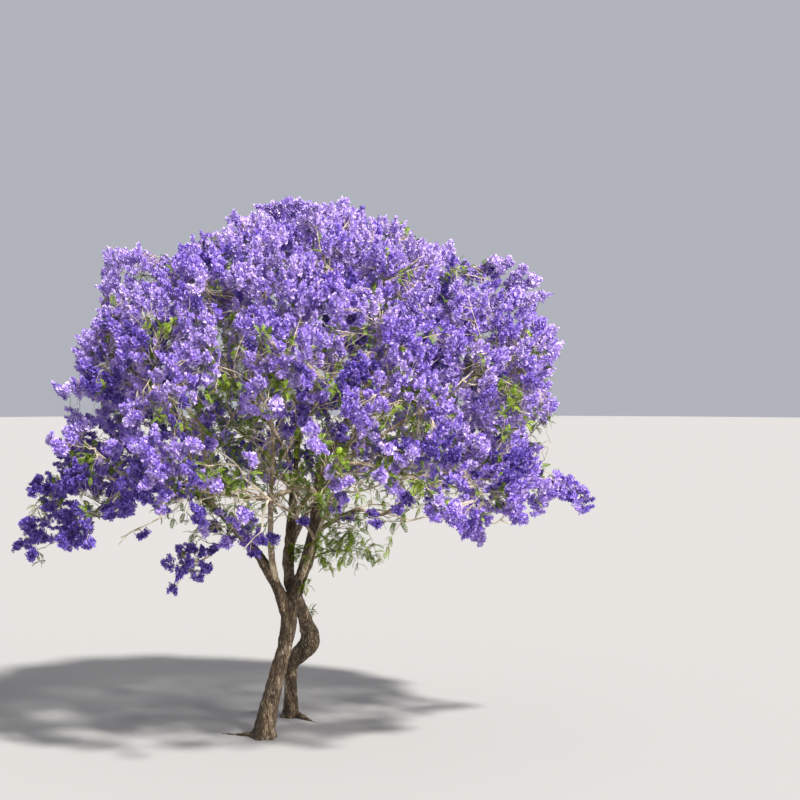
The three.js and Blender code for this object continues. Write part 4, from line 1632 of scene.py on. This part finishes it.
for name, chosen, shade in [("leaves", leaves, "leaf"), ("sprouts", sprouts, "sprout")]:
    piece = mesh_object(name, *leaf_arrays(chosen), growth_material(shade, *LEAF_SHADES[shade]))
    finish_piece(piece, leaf_nodes)

piece = mesh_object("twigs", *twigs.arrays(), twig_material("twig", TWIG_WOOD_AND_PAINTED_SUN_TONES))
finish_piece(piece, blossom_nodes + leaf_nodes)

# The bare branches' pale colour is painted sunlight
piece = mesh_object("bare_branches", *bare.arrays(), twig_material("bare_branch", BARE_PAINTED_SUN_TONES))
piece.data.shade_smooth()
finish_piece(piece, blossom_nodes)

thick = [limb_arrays(limb_named(name), STEM_STATIONS, STEM_SIDES) for name in THICK_LIMBS]
thick += [root_arrays(*root) for root in SURFACE_ROOTS]
stems = fused("stems", thick, STEM_VOXEL, STEM_SMOOTHING, bark_material("bark", STEM_TONES, STEM_FURROW))
bark_relief(stems, STEM_RELIEF)
cut_at_ground(stems)
finish_piece(stems, THICK_LIMBS)

thin_limbs = [limb for limb in limbs if limb.name not in THICK_LIMBS]
thin = joined([limb_arrays(limb, BOUGH_STATIONS, BOUGH_SIDES) for limb in thin_limbs])
boughs = mesh_object("boughs", *thin, bark_material("bough_bark", BOUGH_BARK_AND_PAINTED_SUN_TONES, BOUGH_FURROW))
bark_relief(boughs, BOUGH_RELIEF)
boughs.data.shade_smooth()
finish_piece(boughs, [limb.name for limb in thin_limbs])


# Floor, light and camera

def add_floor():
    bpy.ops.mesh.primitive_circle_add(vertices=64, radius=FLOOR_RADIUS, fill_type="NGON")
    floor = bpy.context.object
    floor.name = "floor"
    material, _, shader = new_material("floor", 0.95)
    shader.inputs["Base Color"].default_value = FLOOR_COLOUR
    floor.data.materials.append(material)


def add_sun(name, strength, spread, colour, direction):
    sun = bpy.data.lights.new(name, "SUN")
    sun.energy = strength
    sun.angle = math.radians(spread)
    sun.color = colour
    lamp = bpy.data.objects.new(name, sun)
    lamp.rotation_mode = "QUATERNION"
    lamp.rotation_quaternion = Vector(direction).to_track_quat("-Z", "Y")
    scene.collection.objects.link(lamp)


def add_light():
    """The suns and an even sky."""
    for name, sun in SUNS.items():
        add_sun(name, *sun)
    world = bpy.data.worlds.new("studio")
    world.use_nodes = True
    background = world.node_tree.nodes["Background"]
    background.inputs["Color"].default_value = SKY_COLOUR
    background.inputs["Strength"].default_value = SKY_STRENGTH
    scene.world = world


def add_camera():
    data = bpy.data.cameras.new("camera")
    data.sensor_width = 36
    data.lens = FOCAL_PIXELS / PHOTO_PIXELS * data.sensor_width
    data.clip_end = 1000
    camera = bpy.data.objects.new("camera", data)
    camera.location = (CAMERA_SIDE, -CAMERA_BACK, CAMERA_UP)
    down = math.atan((PHOTO_PIXELS / 2 - HORIZON_ROW) / FOCAL_PIXELS)
    camera.rotation_euler = (math.pi / 2 - down, 0, 0)
    scene.collection.objects.link(camera)
    scene.camera = camera


add_floor()
add_light()
add_camera()
